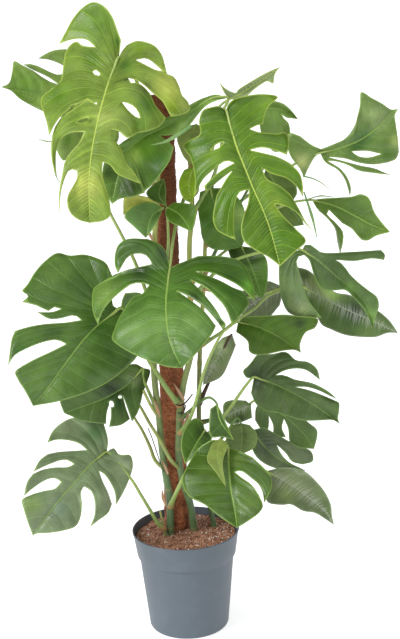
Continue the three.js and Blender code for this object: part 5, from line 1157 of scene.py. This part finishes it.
def tube(points, radius, flats, step, ends=(0.6, 0.6), flat=1.0):
    """A closed tube along a smooth curve: its vertices, its faces and each vertex's way along in mm. radius
    gives the tube's radius at a share of the length and at mm from its foot; flat presses it to a strip."""
    line, way = smooth_line(points)
    length = length_of(line)
    shares = np.linspace(0, 1, max(4, round(length / step)) + 1)
    axis = at_shares(line, way, shares)
    heading = np.gradient(axis, axis=0)
    heading /= np.linalg.norm(heading, axis=1)[:, None]
    side = np.cross(heading[0], [0.0, 1.0, 0.0])
    if np.linalg.norm(side) < 0.1:
        side = np.cross(heading[0], [1.0, 0.0, 0.0])
    angles = np.linspace(0, 2 * math.pi, flats, endpoint=False)
    rings = []
    for share, centre, ahead in zip(shares, axis, heading):
        side = side - ahead * (side @ ahead)
        side /= np.linalg.norm(side)
        over = np.cross(ahead, side)
        ring = np.cos(angles)[:, None] * side + np.sin(angles)[:, None] * over * flat
        rings.append(centre + ring * radius(share, share * length))
    tips = [axis[0] - heading[0] * radius(0, 0) * ends[0],
            axis[-1] + heading[-1] * radius(1, length) * ends[1]]
    first, end = len(rings) * flats, (len(rings) - 1) * flats
    faces = [(i * flats + k, i * flats + n, (i + 1) * flats + n, (i + 1) * flats + k)
             for i in range(len(rings) - 1) for k, n in zip(range(flats), [*range(1, flats), 0])]
    for k in range(flats):
        n = (k + 1) % flats
        faces += [(first, n, k), (first + 1, end + k, end + n)]
    run = np.array([*np.repeat(shares * length, flats), 0, length])
    return np.vstack([*rings, tips]), faces, run, length


def joined(name, parts):
    """One mesh from parts that each have vertices, in mm, and faces."""
    vertices, faces, count = [], [], 0
    for points, polygons in parts:
        vertices.append(points)
        faces += [tuple(index + count for index in polygon) for polygon in polygons]
        count += len(points)
    mesh = bpy.data.meshes.new(name)
    mesh.from_pydata((np.vstack(vertices) * MM).tolist(), [], faces)
    mesh.update()
    return mesh


def join_tubes(name, parts):
    """One smooth mesh from tubes, each with how young it is along its way and how scarred it is."""
    mesh = joined(name, [made[:2] for made, _, _ in parts])
    mesh.polygons.foreach_set("use_smooth", [True] * len(mesh.polygons))
    young = [youth(run / length) for (_, _, run, length), youth, _ in parts]
    scars = [scar(run) if scar else 0 * run for (_, _, run, _), _, scar in parts]
    for key, values in (("along", young), ("scar", scars)):
        give_measure(mesh, key, np.clip(np.concatenate(values), 0, 1))
    mesh.update()
    return mesh


def bumps(places, reach):
    """A bump of height 1 at each of the places along a way, in mm."""
    return lambda run: sum(np.exp(-((run - spot) / reach) ** 2) for spot in places)


def make_vine(vine, seed):
    """A vine: a stem that swells at its nodes, where each swelling has a pale corky ring, and its stubs."""
    rng = random.Random(seed)
    route = route_of(vine["route"])
    length = length_of(route)
    nodes, spot = [], rng.uniform(*VINE["first_node"])
    while spot < length:
        nodes.append(spot)
        spot += rng.uniform(*VINE["node_spacing"])
    swelling, ring = bumps(nodes, VINE["swelling_length"]), bumps(nodes, VINE["ring_length"])
    foot, top = vine["radius"]

    def radius(share, run):
        return foot + (top - foot) * share + VINE["swelling"] * swelling(run) - VINE["slimmer"]

    stem = tube(route, radius, VINE["flats"], VINE["step"])
    parts = [(stem, lambda share: share * 1.3 - 0.2, lambda run: VINE["ring_share"] * ring(run))]
    for stub in vine["stubs"]:
        thick, thin = stub["radius"]
        stalk = tube(route_of(stub["route"]), lambda share, run: thick + (thin - thick) * share, **STALK)
        parts.append((stalk, lambda share: 0.5 + 0.4 * share, None))
    piece = piece_of(vine["name"] + "_stem", join_tubes(vine["name"], parts))
    return finish_piece(piece, "vine", "vine", vine["name"])


def make_petiole(grown):
    """A petiole: broad where it clasps its vine, slim along its middle, and tapering where it runs behind the
    blade's midrib.
    """
    route = list(route_of(grown["stalk"]))
    axis, _ = smooth_line(route_of(VINES[grown["vine"]]["route"]))
    route[0] = axis[np.linalg.norm(axis - route[0], axis=1).argmin()]
    inside = read_off(grown["midrib"], [share for share, _ in LAP])
    route += list(place(inside, lie_of(grown, inside)[1] + np.array([behind for _, behind in LAP])))
    foot, tip, joint = PETIOLE["foot"], PETIOLE["tip"], PETIOLE["joint"]

    def radius(share, run):
        slim = foot - PETIOLE["slimmer"] + (tip - foot) * min(1, share * 1.1)
        if share > joint:
            slim *= 1 - PETIOLE["taper"] * (share - joint) / (1 - joint)
        clasp = PETIOLE["clasp"] * math.exp(-(run / PETIOLE["clasp_length"]) ** 2)
        return slim * grown.get("stout", 1) + clasp

    part = tube(route, radius, **STALK, ends=(0.2, 0.6))
    scar = bumps([PETIOLE["scar"]], PETIOLE["scar_length"])
    mesh = join_tubes(grown["name"], [(part, lambda share: 0.2 + 0.8 * share, scar)])
    piece = piece_of(grown["name"] + "_petiole", mesh)
    return finish_piece(piece, grown.get("petiole", "petiole"), "vine", grown["name"])


def make_trim(name, finish, flat, widths, route):
    """A small strip, sheath, wire end or root; widths are half its width at its foot, middle and end."""
    def radius(share, run):
        return max(float(np.interp(share, (0, 0.5, 1), widths)), TRIM["least"])

    part = tube(route_of(route), radius, TRIM["flats"], TRIM["step"], flat=flat)
    piece = piece_of(name, join_tubes(name, [(part, lambda share: share, None)]))
    return finish_piece(piece, finish, TRIM_SLOT[finish])


def make_leaf(grown, seed):
    name, slot = grown["name"], "leaf_" + grown["tone"]
    blade = piece_of(name + "_blade", blade_mesh(grown, name + "_blade", seed))
    finish_piece(blade, grown.get("finish", slot), slot, name)
    if "fold" in grown:
        folded = piece_of(name + "_fold", blade_mesh(grown["fold"], name + "_fold", seed + 50))
        finish_piece(folded, "leaf_olive", slot, name)
    make_petiole(grown)


# ---------------------------------------------------------------- pot, soil, pole and tie

def select_where(test):
    """In edit mode: selects the vertices whose place passes the test, and only those."""
    made = bpy.context.edit_object
    mesh = bmesh.from_edit_mesh(made.data)
    mesh.select_mode = {"VERT"}
    mesh.verts.ensure_lookup_table()
    for vertex in mesh.verts:
        vertex.select = bool(test(vertex.co))
    mesh.select_flush_mode()
    bmesh.update_edit_mesh(made.data)


def turned_profile(name, profile, flats):
    """A closed turned body: a disc whose edge is drawn on ring by ring through [radius, height], in mm."""
    radius, height = profile[0]
    bpy.ops.mesh.primitive_circle_add(vertices=flats, radius=radius * MM, fill_type="NGON",
                                      location=(0, 0, height * MM))
    made = bpy.context.object
    made.name = name
    bpy.ops.object.transform_apply(location=True, rotation=True, scale=True)
    bpy.ops.object.mode_set(mode="EDIT")
    bpy.ops.mesh.select_all(action="SELECT")
    bpy.ops.mesh.select_mode(type="EDGE")
    bpy.ops.mesh.region_to_loop()
    for next_radius, next_height in profile[1:]:
        bpy.ops.mesh.extrude_edges_move(
            TRANSFORM_OT_translate={"value": (0, 0, (next_height - height) * MM)})
        share = next_radius / radius
        bpy.ops.transform.resize(value=(share, share, 1), center_override=(0, 0, next_height * MM))
        radius, height = next_radius, next_height
    bpy.ops.mesh.edge_face_add()
    bpy.ops.mesh.select_all(action="SELECT")
    bpy.ops.mesh.normals_make_consistent(inside=False)
    bpy.ops.object.mode_set(mode="OBJECT")
    return made


def make_pot():
    pot = turned_profile("pot_body", POT_OUTSIDE + POT_INSIDE, POT_FLATS)
    for k in range(DRAIN["count"]):
        angle = 2 * math.pi * (k + 0.5) / DRAIN["count"]
        spot = (DRAIN["ring"] * math.cos(angle), DRAIN["ring"] * math.sin(angle), DRAIN["middle"])
        bpy.ops.object.select_all(action="DESELECT")
        bpy.ops.mesh.primitive_cylinder_add(vertices=DRAIN["flats"], radius=DRAIN["radius"] * MM,
                                            depth=DRAIN["depth"] * MM, location=Vector(spot) * MM)
        drill = bpy.context.object
        bpy.context.view_layer.objects.active = pot
        cut = pot.modifiers.new("drain", "BOOLEAN")
        cut.operation, cut.object, cut.solver = "DIFFERENCE", drill, "EXACT"
        bpy.ops.object.modifier_apply(modifier="drain")
        bpy.data.objects.remove(drill, do_unlink=True)
    bpy.ops.object.select_all(action="DESELECT")
    pot.select_set(True)
    bpy.context.view_layer.objects.active = pot
    bpy.ops.object.shade_smooth_by_angle(angle=SHARP_EDGE)
    return finish_piece(pot, "pot_plastic", "pot_plastic", "pot")


def soil_height(x, y):
    """The soil's height at a place, heaped towards the pole and lumpy, in mm."""
    radius = math.hypot(x, y)
    knee, top = SOIL["shoulder"]
    if radius < knee:
        height = SOIL["middle"] + (top - SOIL["middle"]) * radius / knee
    else:
        height = top + (SOIL["edge"] - top) * (radius - knee) / (SOIL["reach"] - knee)
    lump = sum(noise.noise(Vector((x / wide, y / wide, layer))) * high for wide, layer, high in SOIL_LUMPS)
    return height + lump * min(1, (SOIL["rim"] - radius) / 8 + 0.4)


def make_soil():
    """The soil: a plug whose top is drawn inwards ring by ring and then lifted to the heap's height."""
    bed = turned_profile("soil_bed", SOIL_SIDE, SOIL["flats"])
    side, top = SOIL_SIDE[-1]
    seam = SOIL["seam"] * MM
    bpy.ops.object.mode_set(mode="EDIT")
    select_where(lambda spot: spot.z > seam)
    bpy.ops.mesh.select_mode(type="EDGE")
    bpy.ops.mesh.delete(type="ONLY_FACE")
    bpy.ops.mesh.select_all(action="DESELECT")
    select_where(lambda spot: spot.z > seam)
    bpy.ops.mesh.select_mode(type="EDGE")
    radius = side
    for k in range(SOIL["rings"]):
        next_radius = (1 - (k + 1) / (SOIL["rings"] + 0.6)) * side
        share = next_radius / radius
        bpy.ops.mesh.extrude_edges_move()
        bpy.ops.transform.resize(value=(share, share, 1), center_override=(0, 0, top * MM))
        radius = next_radius
    bpy.ops.mesh.edge_face_add()
    bpy.ops.object.mode_set(mode="OBJECT")
    for vertex in bed.data.vertices:
        if vertex.co.z > seam:
            vertex.co.z = soil_height(vertex.co.x / MM, vertex.co.y / MM) * MM
    bed.data.polygons.foreach_set("use_smooth", [True] * len(bed.data.polygons))
    return finish_piece(bed, "potting_soil", "potting_soil", "soil")


def scattered(name, count, sizes, seed, lowest, finish, reach=110):
    """Grains strewn over the soil: one rough lump modelled once and copied, each copy turned its own way."""
    bpy.ops.object.select_all(action="DESELECT")
    bpy.ops.mesh.primitive_ico_sphere_add(subdivisions=1, radius=1)
    model = bpy.context.object
    lump = np.array([vertex.co[:] for vertex in model.data.vertices])
    polygons = [tuple(face.vertices) for face in model.data.polygons]
    bpy.data.objects.remove(model, do_unlink=True)
    rng = random.Random(seed)
    grains = []
    for _ in range(count):
        angle, radius = rng.uniform(0, 2 * math.pi), reach * math.sqrt(rng.uniform(0, 1))
        x, y = radius * math.cos(angle), radius * math.sin(angle)
        size = rng.uniform(*sizes)
        turn = np.array(Euler([rng.uniform(0, FULL_TURN) for _ in range(3)]).to_matrix())
        dents = np.array([[rng.uniform(*GRAIN["dent"])] for _ in range(len(lump))])
        stretch = np.array([rng.uniform(*limits) for limits in GRAIN["stretch"]])
        spot = np.array([x, y, soil_height(x, y) + size * rng.uniform(lowest, GRAIN["highest"])])
        grains.append(((lump * dents * stretch * size) @ turn.T + spot, polygons))
    return finish_piece(piece_of(name, joined(name, grains)), finish, "potting_soil")


def pole_axis():
    """The pole's foot, its direction and its length."""
    foot, top = np.array(POLE["foot"], float), np.array(POLE["top"], float)
    length = np.linalg.norm(top - foot)
    return foot, (top - foot) / length, length


def make_pole():
    """The pole: coir bound round a core, so its side swells and sinks between the turns of the binding."""
    foot, line, length = pole_axis()
    bpy.ops.object.select_all(action="DESELECT")
    bpy.ops.mesh.primitive_cylinder_add(vertices=POLE["flats"], radius=POLE["radius"] * MM, depth=length * MM,
                                        location=tuple((foot + line * length / 2) * MM))
    pole = bpy.context.object
    pole.name = "pole_core"
    pole.rotation_mode = "QUATERNION"
    pole.rotation_quaternion = Vector((0, 0, 1)).rotation_difference(Vector(line))
    bpy.ops.object.transform_apply(location=True, rotation=True, scale=True)
    bpy.ops.object.mode_set(mode="EDIT")
    for k in range(1, POLE["rings"]):
        bpy.ops.mesh.select_all(action="SELECT")
        spot = (foot + line * length * k / POLE["rings"]) * MM
        bpy.ops.mesh.bisect(plane_co=tuple(spot), plane_no=tuple(line))
    bpy.ops.mesh.select_all(action="SELECT")
    bpy.ops.mesh.normals_make_consistent(inside=False)
    bpy.ops.object.mode_set(mode="OBJECT")
    for vertex in pole.data.vertices:
        spot = np.array(vertex.co[:]) / MM
        way = (spot - foot) @ line
        out = spot - foot - line * way
        radius = np.linalg.norm(out)
        if radius < 1 or way < 1 or way > length - 1:
            continue
        turns = math.sin(way / BINDING["pitch"] + math.atan2(out[1], out[0])) * BINDING["depth"]
        rough = sum(noise.noise(Vector(spot / wide)) * high for wide, high in COIR_LUMPS) + turns
        vertex.co = Vector((foot + line * way + out / radius * (POLE["radius"] - COIR_DEPTH + rough)) * MM)
    pole.data.polygons.foreach_set("use_smooth", [True] * len(pole.data.polygons))
    return finish_piece(pole, "coir", "coir", "pole")


def make_fibres(count, seed):
    """Loose coir: short bent strands strewn round the pole, each lying its own way."""
    rng = random.Random(seed)
    foot, line, length = pole_axis()
    strands = []
    for _ in range(count):
        way = rng.uniform((SOIL["middle"] - foot[2]) / length, 0.998) * length
        angle, slant = rng.uniform(0, 2 * math.pi), rng.uniform(*FIBRE["slant"])
        reach, bow = rng.uniform(*FIBRE["length"]), rng.uniform(*FIBRE["bow"])
        points = []
        for k in range(FIBRE["steps"] + 1):
            share = k / FIBRE["steps"]
            step = (share - 0.5) * reach
            turn = angle + step * math.cos(slant) / POLE["radius"]
            up = min(length - 1, way + step * math.sin(slant))
            arch = bow * math.sin(math.pi * share) * rng.uniform(*FIBRE["uneven"])
            lift = POLE["radius"] - FIBRE["sunk"] + arch
            points.append(foot + line * up + np.array([math.cos(turn), math.sin(turn), 0]) * lift)
        thin = rng.uniform(*FIBRE["radius"])
        strands.append(tube(points, lambda share, run: thin * (1.05 - 0.5 * share), 3, reach / 6)[:2])
    return finish_piece(piece_of("pole_fibres", joined("pole_fibres", strands)), "coir", "coir")


def make_tie():
    """The tie: coated wire, level, round the pole and the vine that it holds, its ends left open."""
    vine, height = VINES[TIE["vine"]], TIE["height"]
    axis, way = smooth_line(route_of(vine["route"]))
    share = float(np.interp(height, axis[:, 2], way))
    stem = np.array([np.interp(height, axis[:, 2], axis[:, k]) for k in range(3)])
    foot, line, _ = pole_axis()
    held = [(foot + line * (height - foot[2]) / line[2], POLE["radius"]),
            (stem, vine["radius"][0] + (vine["radius"][1] - vine["radius"][0]) * share)]
    points = []
    for k in range(TIE["steps"] + 1):
        angle = math.radians(TIE["start"] + (TIE["end"] - TIE["start"]) * k / TIE["steps"])
        ahead = np.array([math.cos(angle), math.sin(angle), 0])
        reached = [centre + ahead * (radius + TIE["gap"] + TIE["radius"]) for centre, radius in held]
        points.append(max(reached, key=lambda point: point @ ahead))
    part = tube(points, lambda share, run: TIE["radius"] * TIE["pressed"], flats=12, step=1.5)
    piece = piece_of("tie_loop", join_tubes("tie", [(part, lambda share: share, None)]))
    return finish_piece(piece, "tie_wire", "tie_wire", "tie")


# ---------------------------------------------------------------- the plant is put together

make_pot()
make_soil()
scattered("soil_crumbs", 900, (0.9, 3.2), 5, -0.3, "potting_soil")
scattered("perlite_grains", 230, (0.9, 2.4), 9, 0.1, "perlite")
make_pole()
make_fibres(1100, 3)
for number, vine in enumerate(VINES):
    make_vine(vine, 11 + number)
make_tie()
for number, grown in enumerate(LEAVES):
    make_leaf(grown, 101 + number)
for trim in TRIMS:
    make_trim(*trim)

# ---------------------------------------------------------------- camera, floor and light

camera = bpy.data.objects.new("camera", bpy.data.cameras.new("camera"))
bpy.context.scene.collection.objects.link(camera)
turn = Matrix((across, upward, -forward)).transposed().to_4x4()
camera.matrix_world = Matrix.Translation(Vector(EYE * MM)) @ turn
camera.data.lens = SENSOR * FOCUS / FRAME_HEIGHT
camera.data.sensor_width = SENSOR
camera.data.clip_end = 100
bpy.context.scene.camera = camera

bpy.ops.object.select_all(action="DESELECT")
bpy.ops.mesh.primitive_plane_add(size=400, location=(0, 0, -0.0004))
floor = bpy.context.object
floor.name = "floor"
floor.data.materials.append(Surface("paper_white", Base_Color=(0.7, 0.7, 0.7, 1), Roughness=0.9,
                                    Emission_Color=(1, 1, 1, 1), Emission_Strength=0.58).material)

# The room lights the plant softly from all round, shows as plain white behind it, and is dim where the
# leaves mirror it, as a studio is beside its lamps.
ROOM_LIGHT, MIRRORED_LESS = 0.62, -0.45
world = bpy.data.worlds.new("soft_room")
world.use_nodes = True
tree = world.node_tree
lit = tree.nodes["Background"]
lit.inputs["Color"].default_value = (0.97, 0.985, 1.0, 1)
rays = add(tree, "ShaderNodeLightPath").outputs
dimmed = add(tree, "ShaderNodeMath", {"operation": "MULTIPLY_ADD"},
             {0: rays["Is Glossy Ray"], 1: MIRRORED_LESS, 2: ROOM_LIGHT})
tree.links.new(dimmed.outputs[0], lit.inputs["Strength"])
seen = add(tree, "ShaderNodeBackground", None, {"Color": (1, 1, 1, 1), "Strength": 1.0})
choice = add(tree, "ShaderNodeMixShader", None,
             {0: rays["Is Camera Ray"], 1: lit.outputs[0], 2: seen.outputs[0]})
tree.links.new(choice.outputs[0], tree.nodes["World Output"].inputs["Surface"])
bpy.context.scene.world = world


def sun(name, spot, aim, energy, spread):
    """A large soft lamp far off, in the direction of spot as seen from aim."""
    made = bpy.data.objects.new(name, bpy.data.lights.new(name, "SUN"))
    bpy.context.scene.collection.objects.link(made)
    made.location = spot
    made.rotation_mode = "QUATERNION"
    made.rotation_quaternion = (Vector(spot) - Vector(aim)).to_track_quat("Z", "Y")
    made.data.energy = energy
    made.data.angle = math.radians(spread)


sun("key", (-2.6, -1.6, 2.8), (0, 0, 0.7), 2.4, 24)
sun("overhead", (0.9, -0.9, 3.4), (0, 0, 0.7), 0.8, 50)

bpy.context.scene.view_settings.view_transform = "Standard"
